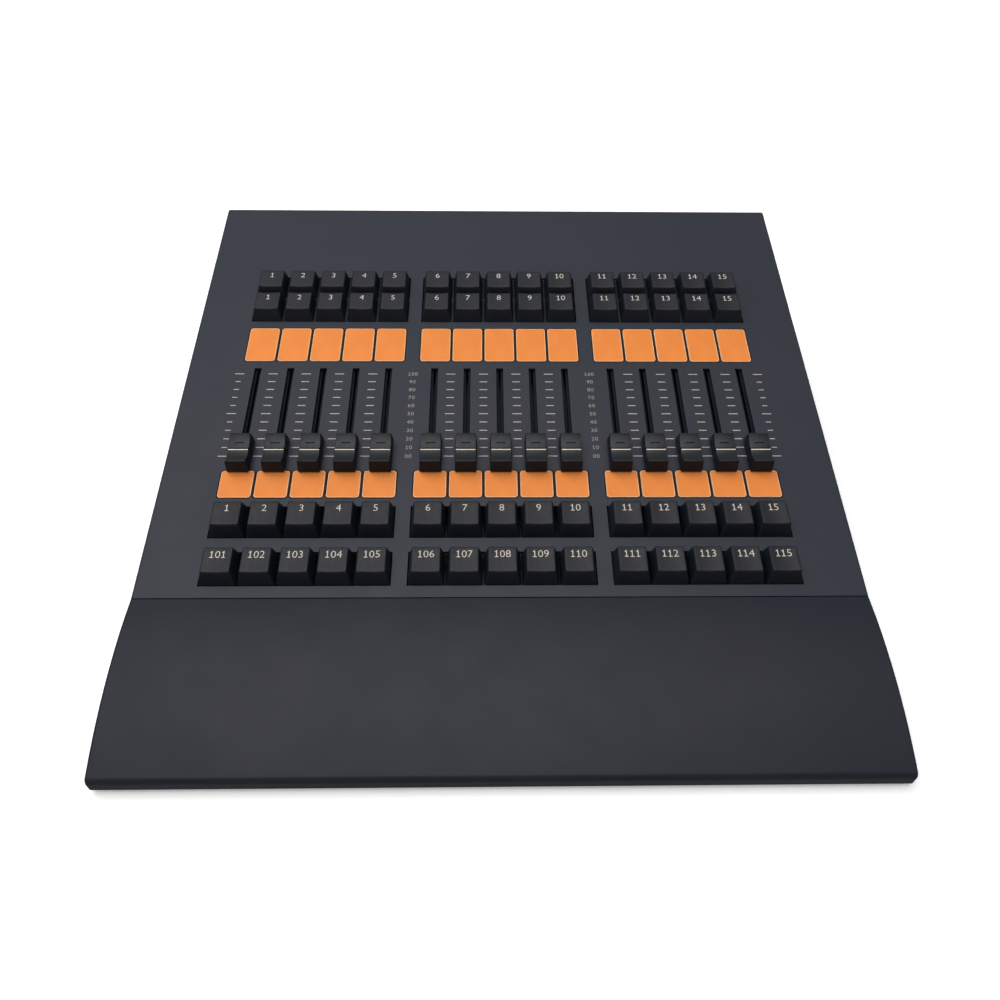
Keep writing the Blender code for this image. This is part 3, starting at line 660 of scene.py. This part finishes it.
def panel_openings():
    """Cutters for key blocks, fader slots and label windows, in the desk's frame."""
    bm = bmesh.new()
    floor, roof = -CUT_MARGIN, SHEET
    edge = KEY_CLEARANCE
    for group, side in enumerate(SIDES):
        first, last = group * PER_GROUP + 1, (group + 1) * PER_GROUP
        blocks = [(f"key_{first + offset:02d}", f"key_{last + offset:02d}") for offset in (0, 100)]
        blocks.append((f"key_bank_{side}",) * 2)
        for left, right in blocks:
            low, high = panel_box(left)[0], panel_box(right)[1]
            add_box(bm, (low.x - edge, low.y - edge, floor), (high.x + edge, high.y + edge, roof))
    for channel in range(CHANNELS):
        centre = panel_centre(f"fader_{channel + 1:02d}")
        add_box(bm, (centre.x - SLOT_WIDTH / 2, centre.y - SLOT_MARGIN, floor),
                (centre.x + SLOT_WIDTH / 2, centre.y + FADER_TRAVEL + SLOT_MARGIN, roof))
        for front, back in LENS_ROWS.values():
            half = (LENS_SIZE_X / 2 + WINDOW_GAP, (back - front) / 2 + WINDOW_GAP)
            middle = Vector((centre.x, (front + back) / 2, 0))
            outline = ring(*half, LENS_RADIUS + WINDOW_GAP, side_steps=1)
            loft(bm, [[middle + Vector((x, y, z)) for x, y in outline] for z in (floor, roof)],
                 close_start=True, close_end=True)
    put_on_panel(bm)
    bmesh.ops.recalc_face_normals(bm, faces=bm.faces)
    return bm


def rear_openings():
    bm = bmesh.new()
    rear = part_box("upper_case")[1].y
    for centre, size in SOCKETS.values():
        half = size / 2 + Vector((GAP, 0, GAP))
        add_box(bm, (centre.x - half.x, rear - CUT_MARGIN, centre.z - half.z),
                (centre.x + half.x, rear + SHEET, centre.z + half.z))
    return bm


def make_upper_case():
    low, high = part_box("upper_case")
    outer = extrude_profile(case_outline(0, low.y, FOOT_HEIGHT), 2 * high.x)
    round_bends(outer, low.y)
    inner = extrude_profile(case_outline(SHEET, low.y - SHEET, 0), 2 * (high.x - SHEET))
    shell = carve(carve(carve(outer, inner), panel_openings()), rear_openings())
    soften_cut_edges(add_formed("case_shell", shell, PAINT, replaces=("upper_case",)))


# ---------------------------------------------------------------- keys

def key_section(height):
    """Half width, half depth and setback of a key's outer wall at a height above the panel."""
    along = (height + KEY_SKIRT) / (KEY_HEIGHT + KEY_SKIRT)
    half_x, half_y = (KEY_BASE / 2 + (top - KEY_BASE) / 2 * along for top in KEY_TOP)
    return half_x, half_y, KEY_TOP_SHIFT * along


def dish(x):
    """How far a key's top sinks below its side edges."""
    return KEY_DISH * max(0.0, 1 - (2 * x / KEY_TOP[0]) ** 2)


def key_ring(height, inset, radius, sink):
    """The key's outline at a height, with sink times the dish taken off."""
    half_x, half_y, setback = key_section(height)
    return [Vector((x, y + setback, height - sink * dish(x)))
            for x, y in ring(half_x - inset, half_y - inset, radius)]


def make_key_mesh(top_material):
    """A hollow key with tapered walls, rounded edges and a top dished from side to side."""
    bm = bmesh.new()
    shoulder = KEY_HEIGHT - KEY_EDGE
    inside_top = shoulder - KEY_WALL
    rings = [key_ring(inside_top, KEY_WALL, KEY_CORNER / 2, 0),
             key_ring(-KEY_SKIRT, KEY_WALL, KEY_CORNER / 2, 0),
             key_ring(-KEY_SKIRT, KEY_RIM, KEY_CORNER, 0),
             key_ring(KEY_RIM - KEY_SKIRT, 0, KEY_CORNER, 0),
             key_ring(shoulder / 2, 0, KEY_CORNER, KEY_WALL_DISH)]
    for step in range(KEY_EDGE_STEPS + 1):
        angle = math.pi / 2 * step / KEY_EDGE_STEPS
        inset = KEY_EDGE * (1 - math.cos(angle))
        rings.append(key_ring(shoulder + KEY_EDGE * math.sin(angle), inset, KEY_CORNER - inset, 1))
    first_of_top = len(rings) - 1
    half_x, half_y = (side / 2 - KEY_EDGE for side in KEY_TOP)
    for scale in KEY_FACE_SCALES:
        outline = ring(half_x * scale, half_y * scale, KEY_FACE_CORNER * scale)
        rings.append([Vector((x, y + KEY_TOP_SHIFT, KEY_HEIGHT - dish(x))) for x, y in outline])
    bands = loft(bm, rings, close_start=True, close_end=True)
    for band in bands[first_of_top:-2] + bands[-1:]:
        for polygon in band:
            polygon.material_index = 1
    rounded_box(bm, (-STEM_SIZE / 2, -STEM_SIZE / 2, -STEM_DEPTH),
                (STEM_SIZE / 2, STEM_SIZE / 2, inside_top + STEM_OVERLAP), STEM_EDGE)
    return mesh_from("key", bm, KEY_PLASTIC, top_material)


def make_keys():
    mesh = make_key_mesh(KEY_TOP_PLASTIC)
    for channel in range(CHANNELS):
        for number in (channel + 1, channel + 101):
            name = f"key_{number:02d}"
            centre = panel_centre(name)
            place = PANEL @ Matrix.Translation((centre.x, centre.y, 0))
            add_piece(name + "_cap", mesh, name, place, replaces=(name,))
            add_key_legend(name + "_legend", str(number), name, place)


def make_key_banks():
    """The rear rows: two rows of five keys on a carrier in each group."""
    mesh = make_key_mesh(REAR_TOP_PLASTIC)
    for group, side in enumerate(SIDES):
        body = f"key_bank_{side}"
        low, high = panel_box(body)
        middle = (low + high) / 2
        bm = bmesh.new()
        rounded_box(bm, (low.x + GAP, low.y + GAP, CARRIER_TOP - CARRIER_THICKNESS),
                    (high.x - GAP, high.y - GAP, CARRIER_TOP), PART_EDGE)
        put_on_panel(bm)
        add_formed(body + "_carrier", bm, KEY_PLASTIC, body, replaces=(body,))
        for row, shift in (("front", -PITCH / 2), ("rear", PITCH / 2)):
            for column in range(PER_GROUP):
                x = middle.x + (column - (PER_GROUP - 1) / 2) * PITCH
                place = PANEL @ Matrix.Translation((x, middle.y + shift, 0))
                number = group * PER_GROUP + column + 1
                name = f"{row}_key_{number:02d}"
                add_piece(name + "_cap", mesh, body, place)
                add_key_legend(name + "_legend", str(number), body, place)


# ---------------------------------------------------------------- legends

def digit_shapes():
    """Each digit's vertices and faces, one unit high, centred on x, standing on y = 0.

    The 1 is drawn here, with a flag and a foot. The others come from Blender's own font.
    """
    one = [(-0.06, 0), (0.06, 0), (0.06, 1), (-0.05, 1), (-0.09, 0.87), (-0.24, 0.84), (-0.24, 0.75),
           (-0.06, 0.75), (-0.25, 0), (-0.25, 0.10), (-0.06, 0.10), (0.06, 0.10), (0.25, 0.10), (0.25, 0)]
    one_faces = [(8, 9, 10, 0), (0, 10, 11, 1), (1, 11, 12, 13), (10, 7, 3, 2, 11), (7, 6, 5, 4, 3)]
    shapes = {"1": (one, one_faces)}
    for digit in "023456789":
        curve = bpy.data.curves.new("digit", "FONT")
        curve.body = digit
        curve.resolution_u = DIGIT_CURVE_STEPS
        curve.offset = DIGIT_THINNING
        drawn = bpy.data.objects.new("digit", curve)
        bpy.context.scene.collection.objects.link(drawn)
        flat = evaluated_mesh(drawn)
        across = [vertex.co.x for vertex in flat.vertices]
        upward = [vertex.co.y for vertex in flat.vertices]
        middle, foot = (min(across) + max(across)) / 2, min(upward)
        height = max(upward) - foot
        points = [((x - middle) / height * DIGIT_STRETCH, (y - foot) / height)
                  for x, y in zip(across, upward)]
        shapes[digit] = (points, [tuple(polygon.vertices) for polygon in flat.polygons])
        bpy.data.objects.remove(drawn)
        bpy.data.meshes.remove(flat)
    return shapes


DIGITS = digit_shapes()


def add_number(bm, text, height, x, y, surface, advance=DIGIT_ADVANCE):
    """Adds a number as a thin printed film, centred on x and y.

    The surface that it lies on is a function, which gives its height at x.
    """
    for place, digit in enumerate(text):
        left = x + (place - (len(text) - 1) / 2) * advance * height
        points, faces = DIGITS[digit]
        film = bmesh.new()
        vertices = [film.verts.new((left + along * height, y + (up - 0.5) * height, 0))
                    for along, up in points]
        for corners in faces:
            film.faces.new([vertices[corner] for corner in corners])
        bmesh.ops.remove_doubles(film, verts=film.verts, dist=SAME_POINT)
        bmesh.ops.recalc_face_normals(film, faces=film.faces)
        if film.faces[0].normal.z < 0:
            bmesh.ops.reverse_faces(film, faces=film.faces)
        grown = bmesh.ops.extrude_face_region(film, geom=list(film.faces))["geom"]
        raised = {item for item in grown if isinstance(item, bmesh.types.BMVert)}
        for vertex in film.verts:
            vertex.co.z = surface(vertex.co.x) + (INK if vertex in raised else 0)
        mesh = bpy.data.meshes.new("film")
        film.to_mesh(mesh)
        film.free()
        bm.from_mesh(mesh)
        bpy.data.meshes.remove(mesh)


def add_key_legend(name, text, body, place):
    bm = bmesh.new()
    add_number(bm, text, KEY_DIGIT_HEIGHT, 0, KEY_DIGIT_SHIFT, lambda x: KEY_HEIGHT - dish(x))
    add_piece(name, mesh_from(name, bm, KEY_INK), body, place)


def make_scales():
    """Tick marks beside every slot and numbers between the groups, printed on the panel."""
    ticks, numbers = bmesh.new(), bmesh.new()
    for group in range(GROUPS):
        columns = PER_GROUP - 1 if group == 1 else PER_GROUP
        for column in range(columns):
            channel = group * PER_GROUP + column
            x = fader_x(channel) + TICK_OFFSETS[group] + column * TICK_SPREADS[group]
            small = TICK_SHORT if channel in (0, CHANNELS - 1) else TICK_LENGTHS[1]
            for mark in range(SCALE_MARKS):
                half_x = (TICK_LENGTHS[0] if mark % 5 == 0 else small) / 2
                half_y = TICK_THICKNESS / 2
                y = TICK_ZERO + mark * TICK_STEP
                add_box(ticks, (x - half_x, y - half_y, 0), (x + half_x, y + half_y, INK))
    for right in (PER_GROUP, 2 * PER_GROUP):
        x = (fader_x(right - 1) + fader_x(right)) / 2 + SCALE_NUMBER_SHIFT
        for mark in range(SCALE_MARKS):
            add_number(numbers, str(mark * 10) if mark else "00", SCALE_DIGIT_HEIGHT, x,
                       TICK_ZERO + mark * TICK_STEP, lambda x: 0, SCALE_DIGIT_ADVANCE)
    for name, bm, ink in (("scale_ticks", ticks, SCALE_INK), ("scale_numbers", numbers, NUMBER_INK)):
        put_on_panel(bm)
        add_formed(name, bm, ink)


# ---------------------------------------------------------------- faders

def cap_half_outline(groove):
    """Side view of half a fader cap, from its foot up over the raised end and the dish to the ridge."""
    ridge = CAP_RIDGE_HALF + (CAP_RIDGE_SHIFT if groove else -CAP_RIDGE_SHIFT)
    half = [(CAP_HALF[0], CAP_FOOT), (CAP_HALF[1], CAP_END_HEIGHT - CAP_CORNER)]
    for step in range(1, CAP_CORNER_STEPS + 1):
        angle = math.pi / 2 * step / CAP_CORNER_STEPS
        half.append((CAP_HALF[1] - CAP_CORNER * (1 - math.cos(angle)),
                     CAP_END_HEIGHT - CAP_CORNER * (1 - math.sin(angle))))
    outer, inner = CAP_HALF[1] - CAP_CORNER, ridge + CAP_GROOVE[0]
    for step in range(1, CAP_DISH_STEPS + 1):
        along = step / CAP_DISH_STEPS
        half.append((outer + (inner - outer) * along,
                     CAP_END_HEIGHT + (CAP_DISH_HEIGHT - CAP_END_HEIGHT) * along ** CAP_DISH_POWER
                     - CAP_DISH_SAG * math.sin(math.pi * along)))
    if groove:
        half += [(inner, CAP_DISH_HEIGHT - CAP_GROOVE[1]), (ridge, CAP_DISH_HEIGHT - CAP_GROOVE[1])]
    else:
        half.append((ridge, CAP_DISH_HEIGHT + CAP_CORNER / 3))
    return half + [(ridge, CAP_RIDGE_HEIGHT)]


def make_cap_mesh():
    """A fader cap: narrower at the top, a groove behind its ridge and a short slit in its back half."""
    outline = [(-y, z) for y, z in cap_half_outline(groove=False)] + cap_half_outline(groove=True)[::-1]
    bm = extrude_profile(outline, CAP_WIDTHS[0])
    for corner in bm.verts:
        rise = (corner.co.z - CAP_FOOT) / (CAP_END_HEIGHT - CAP_FOOT)
        corner.co.x *= 1 - rise * (1 - CAP_WIDTHS[1] / CAP_WIDTHS[0])
    bevel(bm, [edge for edge in bm.edges
               if any(abs(polygon.normal.x) > CAP_SIDE_FACING for polygon in edge.link_faces)],
          CAP_EDGE, EDGE_STEPS)
    slit = bmesh.new()
    half_x, half_y = CAP_SLIT[0] / 2, CAP_SLIT[1] / 2
    floor = CAP_DISH_HEIGHT + CAP_DISH_SAG - CAP_SLIT[2]
    add_box(slit, (-half_x, CAP_SLIT_BACK - half_y, floor),
            (half_x, CAP_SLIT_BACK + half_y, 2 * CAP_END_HEIGHT))
    bm = carve(bm, slit)
    groove_back = CAP_RIDGE_SHIFT + CAP_RIDGE_HALF + CAP_GROOVE[0] + GAP / 2
    # faces of the groove behind the ridge get the near-black plastic: painted shade
    for polygon in bm.faces:
        middle = polygon.calc_center_median()
        in_groove = CAP_RIDGE_SHIFT < middle.y < groove_back and CAP_FOOT < middle.z < CAP_DISH_HEIGHT
        if in_groove and abs(polygon.normal.x) < 0.5:
            polygon.material_index = 2
        # faces not turned up get the bluer copy: painted shade on the cap's sides and ends
        elif polygon.normal.z <= CAP_TOP_FACING:
            polygon.material_index = 1
    return mesh_from("fader_cap", bm, CAP_PLASTIC, CAP_SIDE_SHADE, CAP_GROOVE_SHADE)


def make_faders():
    """Each fader's cap, the painted line on its ridge, and the blade and carriage that it rides on."""
    cap = make_cap_mesh()
    half_x = CAP_WIDTHS[1] / 2 - POINTER_SIDE_INSET
    half_y = CAP_RIDGE_HALF - POINTER_INSET
    bm = bmesh.new()
    rounded_box(bm, (-half_x, CAP_RIDGE_SHIFT - half_y, CAP_RIDGE_HEIGHT - POINTER_DEPTH),
                (half_x, CAP_RIDGE_SHIFT + half_y, CAP_RIDGE_HEIGHT + POINTER_PROUD), POINTER_INSET)
    line = mesh_from("fader_line", bm, POINTER_INK)
    bm = bmesh.new()
    rounded_box(bm, *BLADE, BLADE_EDGE)
    rounded_box(bm, *CARRIAGE, PART_EDGE)
    lever = mesh_from("fader_lever", bm, STEEL)
    for channel in range(CHANNELS):
        name = f"fader_{channel + 1:02d}"
        centre = panel_centre(name)
        place = PANEL @ Matrix.Translation((centre.x, centre.y, 0))
        add_piece(name + "_cap", cap, name, place, replaces=(name,))
        add_piece(name + "_line", line, name, place)
        add_piece(name + "_lever", lever, name, place)


def make_dust_strips():
    """Two thin strips under each slot, which leave a narrow gap for the fader's blade."""
    bm = bmesh.new()
    top = -SHEET - DUST_DROP
    for channel in range(CHANNELS):
        centre = panel_centre(f"fader_{channel + 1:02d}")
        front, back = centre.y - SLOT_MARGIN, centre.y + FADER_TRAVEL + SLOT_MARGIN
        for side in (-1, 1):
            inner = centre.x + side * DUST_GAP / 2
            outer = centre.x + side * (SLOT_WIDTH / 2 + DUST_OVERLAP)
            add_box(bm, (min(inner, outer), front - DUST_OVERLAP, top - DUST_THICKNESS),
                    (max(inner, outer), back + DUST_OVERLAP, top))
    put_on_panel(bm)
    add_formed("dust_strips", bm, DUST_STRIP)


# ---------------------------------------------------------------- labels

def make_lens_mesh(depth):
    """A label lens: rounded corners, a bevelled rim with a painted highlight and a face sunk a little inside
    it.
    """
    rings = []
    for step_in, step_up in LENS_SECTION:
        inset, height = step_in * MM, step_up * MM
        outline = ring(LENS_SIZE_X / 2 - inset, depth / 2 - inset, LENS_RADIUS - inset)
        rings.append([Vector((x, y, height)) for x, y in outline])
    bm = bmesh.new()
    bands = loft(bm, rings, close_start=True, close_end=True)
    # the rim's bands take the painted highlight
    for band in bands[:-1]:
        for polygon in band:
            polygon.material_index = 1
    return mesh_from("label_lens", bm, ORANGE, ORANGE_RIM_HIGHLIGHT)


def make_surrounds():
    """A thin dark-brown ring on the panel round every label window: painted shade of the gap round each
    lens, tinted orange by the lenses.
    """
    bm = bmesh.new()
    section = ((GAP_SHADE_WIDTH, 0), (GAP_SHADE_WIDTH, INK), (GAP_SHADE_START, INK), (GAP_SHADE_START, 0),
               (GAP_SHADE_WIDTH, 0))
    for front, back in LENS_ROWS.values():
        for channel in range(CHANNELS):
            middle = Vector((fader_x(channel), (front + back) / 2, 0))
            rings = []
            for out, height in section:
                grow = WINDOW_GAP + out
                half = (LENS_SIZE_X / 2 + grow, (back - front) / 2 + grow)
                rings.append([middle + Vector((x, y, height))
                              for x, y in ring(*half, LENS_RADIUS + grow, side_steps=1)])
            loft(bm, rings)
    bmesh.ops.remove_doubles(bm, verts=bm.verts, dist=SAME_POINT)
    put_on_panel(bm)
    add_formed("label_gap_shades", bm, LABEL_GAP_SHADE)


def make_labels():
    """Two rows of lenses, each row on a bar under the panel."""
    for row, (front, back) in LENS_ROWS.items():
        node = f"{row}_label_strip"
        low, high = panel_box(node)
        bm = bmesh.new()
        rounded_box(bm, low, (high.x, high.y, low.z + LABEL_BAR), PART_EDGE)
        put_on_panel(bm)
        add_formed(f"{row}_label_bar", bm, ORANGE, replaces=(node,))
        mesh = make_lens_mesh(back - front)
        for channel in range(CHANNELS):
            place = PANEL @ Matrix.Translation((fader_x(channel), (front + back) / 2, 0))
            add_piece(f"{row}_label_{channel + 1:02d}", mesh, "desk", place)


# ---------------------------------------------------------------- underside and rear

def screw_mesh(name, radius, height):
    """A pan-head screw with a cross recess, its head hanging down from z = 0."""
    bm = bmesh.new()
    shank = radius * SCREW_SHANK
    lathe(bm, [(0, SHANK_LENGTH), (shank, SHANK_LENGTH), (shank, 0),
               *((radius * out, -height * down) for out, down in SCREW_HEAD), (0, -height)], (0, 0, 0))
    bmesh.ops.recalc_face_normals(bm, faces=bm.faces)
    long, narrow = (radius * part for part in SCREW_CROSS)
    for half_x, half_y in ((long, narrow), (narrow, long)):
        arm = bmesh.new()
        add_box(arm, (-half_x, -half_y, -height * 1.5), (half_x, half_y, -height * CROSS_FLOOR))
        bm = carve(bm, arm)
    return mesh_from(name, bm, STEEL, smooth_angle=50)


def make_screws():
    """Eight screws that hold the base plate to the case, in three rows with none in the middle."""
    mesh = screw_mesh("base_screw", *BASE_SCREW)
    low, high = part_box("base_plate")
    columns = (low.x + BASE_SCREW_INSET, (low.x + high.x) / 2, high.x - BASE_SCREW_INSET)
    rows = (low.y + BASE_SCREW_INSET, (low.y + high.y) / 2, high.y - BASE_SCREW_INSET)
    for row, y in enumerate(rows):
        for column, x in enumerate(columns):
            if (row, column) != (1, 1):
                add_piece(f"base_screw_{row + 1}{column + 1}", mesh, "desk",
                          Matrix.Translation((x, y, low.z)))


def make_feet():
    """Rubber feet with a screw in the middle of each."""
    top = FOOT_HEIGHT - GAP
    recess_top = FOOT_RECESS[-1][1] * MM
    bm = bmesh.new()
    lathe(bm, [(0, top), (FOOT_RADIUS, top), (FOOT_RADIUS, top * FOOT_STRAIGHT),
               *((FOOT_RADIUS - inset * MM, height * MM) for inset, height in FOOT_ROUND),
               *((radius * MM, height * MM) for radius, height in FOOT_RECESS),
               (0, recess_top)], (0, 0, 0), sides=48)
    foot = mesh_from("foot", bm, RUBBER, smooth_angle=50)
    screw = screw_mesh("foot_screw", *FOOT_SCREW)
    for end in ("front", "rear"):
        for side in ("left", "right"):
            node = f"foot_{end}_{side}"
            low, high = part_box(node)
            x, y = (low.x + high.x) / 2, (low.y + high.y) / 2
            add_piece(node + "_pad", foot, "desk", Matrix.Translation((x, y, low.z)),
                      replaces=(node,))
            add_piece(node + "_screw", screw, "desk", Matrix.Translation((x, y, low.z + recess_top)))


def make_sockets():
    """The rear data and power sockets, each a block with a hole."""
    for name, (centre, size) in SOCKETS.items():
        face = centre.y + size.y / 2
        outer = bmesh.new()
        rounded_box(outer, centre - size / 2, centre + size / 2, SOCKET_EDGE)
        hole = bmesh.new()
        if name == "usb":
            width, height, corner = USB_HOLE
            rounded_box(hole, (centre.x - width / 2, face - SOCKET_DEPTH, centre.z - height / 2),
                        (centre.x + width / 2, face + SHEET, centre.z + height / 2), corner)
        else:
            bmesh.ops.create_cone(hole, cap_ends=True, segments=40, radius1=POWER_HOLE, radius2=POWER_HOLE,
                                  depth=SOCKET_DEPTH + SHEET)
            point_back(hole, (centre.x, face + (SHEET - SOCKET_DEPTH) / 2, centre.z))
        material, slot = SOCKET_FINISHES[name]
        add_formed(f"{name}_socket", carve(outer, hole), material)


def point_back(bm, place):
    """Turns what stands along z to point out of the desk's back, and moves it there."""
    turn = Matrix.Rotation(-math.pi / 2, 4, "X")
    bmesh.ops.transform(bm, matrix=Matrix.Translation(place) @ turn, verts=bm.verts)


def make_socket_inserts():
    """The data socket's tongue and the power inlet's pin."""
    centre, size = SOCKETS["usb"]
    face = centre.y + size.y / 2
    width, height, corner = USB_TONGUE
    bm = bmesh.new()
    rounded_box(bm, (centre.x - width / 2, face - INSERT_START, centre.z - height / 2),
                (centre.x + width / 2, face - TONGUE_SETBACK, centre.z + height / 2), corner)
    add_formed("usb_tongue", bm, WHITE_PLASTIC)
    centre, size = SOCKETS["power"]
    bm = bmesh.new()
    lathe(bm, [(radius * MM, along * MM) for radius, along in PIN_SECTION], (0, 0, 0), sides=24)
    point_back(bm, (centre.x, centre.y + size.y / 2 - INSERT_START, centre.z))
    add_formed("power_pin", bm, STEEL)


def make_connector_board():
    """The small board that the sockets stand on, on four posts."""
    low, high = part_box("rear_connector_board")
    middle = min(centre.z - size.z / 2 for centre, size in SOCKETS.values())
    bm = bmesh.new()
    rounded_box(bm, (low.x, low.y, middle - BOARD_HALF),
                (high.x, high.y - BOARD_SETBACK, middle + BOARD_HALF), BOARD_EDGE)
    add_formed("connector_board", bm, BOARD, replaces=("rear_connector_board",))
    bm = bmesh.new()
    post = middle - BOARD_HALF - low.z
    for x in (low.x + POST_INSET, high.x - POST_INSET):
        for y in (low.y + POST_INSET, high.y - BOARD_SETBACK - POST_INSET):
            lathe(bm, [(0, 0), (POST_RADIUS, 0), (POST_RADIUS, post), (0, post)], (x, y, low.z), sides=6)
    add_formed("connector_posts", bm, STEEL)


def dress_frame():
    """Finishes for the CAD nodes that stay in sight."""
    finishes = {"base_plate": PAINT, "control_board": BOARD, "fader_deck": TRACK_PLASTIC}
    for node, material in finishes.items():
        shown = frame["nodes"][node].data
        shown.materials.clear()
        shown.materials.append(material)
        for polygon in shown.polygons:
            polygon.material_index = 0


# ---------------------------------------------------------------- studio

def add_stage(name, bm, albedo, glow):
    """A pale part of the studio that also glows by itself, and that glossy surfaces don't mirror."""
    mesh = bpy.data.meshes.new(name)
    bm.to_mesh(mesh)
    bm.free()
    pale = Surface(name, (albedo, albedo, albedo), 0.8)
    pale.shader.inputs["Emission Color"].default_value = (1.0, 1.0, 1.0, 1)
    pale.shader.inputs["Emission Strength"].default_value = glow
    mesh.materials.append(pale.finish(pale.noise(0.5, 2), 0.05, pale.noise(0.01, 2), 0.01 * MM))
    made = bpy.data.objects.new(name, mesh)
    bpy.context.scene.collection.objects.link(made)
    made.visible_glossy = False
    return made


def make_studio():
    """A pale floor, a white backdrop, one large soft light and a white room.

    The backdrop lights nothing. The light comes from behind on the left, and the room is brighter overhead.
    """
    bm = bmesh.new()
    bmesh.ops.create_grid(bm, x_segments=1, y_segments=1, size=FLOOR_HALF)
    add_stage("floor", bm, FLOOR_ALBEDO, FLOOR_GLOW)
    bm = bmesh.new()
    bmesh.ops.create_uvsphere(bm, u_segments=64, v_segments=32, radius=BACKDROP_RADIUS)
    backdrop = add_stage("backdrop", bm, 0.0, 1.0)
    for rays in ("diffuse", "transmission", "volume_scatter", "shadow"):
        setattr(backdrop, "visible_" + rays, False)
    backdrop.data.materials[0].cycles.emission_sampling = "NONE"
    world = bpy.data.worlds.new("studio")
    world.use_nodes = True
    nodes, links = world.node_tree.nodes, world.node_tree.links
    nodes["Background"].inputs["Color"].default_value = (1.0, 1.0, 1.0, 1)
    height = nodes.new("ShaderNodeVectorMath")
    height.operation = "DOT_PRODUCT"
    height.inputs[1].default_value = ROOM_UP
    links.new(nodes.new("ShaderNodeTexCoord").outputs["Generated"], height.inputs[0])
    glow = nodes.new("ShaderNodeMapRange")
    glow.interpolation_type = "SMOOTHSTEP"
    for key, number in zip(RANGE_SOCKETS, ROOM_GLOW):
        glow.inputs[key].default_value = number
    links.new(height.outputs["Value"], glow.inputs["Value"])
    links.new(glow.outputs["Result"], nodes["Background"].inputs["Strength"])
    bpy.context.scene.world = world
    light = bpy.data.lights.new("soft_light", "AREA")
    light.size = LIGHT_SIZE
    light.energy = LIGHT_POWER
    lamp = bpy.data.objects.new("soft_light", light)
    lamp.location = LIGHT_PLACE
    lamp.rotation_euler = (-lamp.location).to_track_quat("-Z", "Y").to_euler()
    lamp.visible_glossy = False
    bpy.context.scene.collection.objects.link(lamp)


def make_camera():
    data = bpy.data.cameras.new("camera")
    data.sensor_width = CAMERA_SENSOR
    data.lens = CAMERA_LENS
    data.clip_start = CAMERA_NEAR
    camera = bpy.data.objects.new("camera", data)
    camera.location = PANEL @ CAMERA_PLACE
    camera.rotation_euler = Euler([math.radians(angle) for angle in CAMERA_TURN])
    bpy.context.scene.collection.objects.link(camera)
    bpy.context.scene.camera = camera
    bpy.context.scene.view_settings.view_transform = "Standard"


LENS_ROWS = {row: (panel_box(f"{row}_label_strip")[0].y + STRIP_BORDER,
                   panel_box(f"{row}_label_strip")[1].y - STRIP_BORDER) for row in ("lower", "upper")}
REAR_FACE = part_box("rear_connector_board")[1].y
SOCKETS = {"usb": (Vector((105 * MM, REAR_FACE - 8 * MM, SOCKET_HEIGHT)), Vector((12, 16, 11)) * MM),
           "power": (Vector((132 * MM, REAR_FACE - 7 * MM, SOCKET_HEIGHT)), Vector((10, 14, 11)) * MM)}
SOCKET_FINISHES = {"usb": (STEEL, "plated_steel"), "power": (KEY_PLASTIC, "key_plastic")}

make_upper_case()
make_palm_rest()
make_keys()
make_key_banks()
make_scales()
make_faders()
make_dust_strips()
make_labels()
make_surrounds()
make_screws()
make_feet()
make_sockets()
make_socket_inserts()
make_connector_board()
dress_frame()
make_studio()
make_camera()
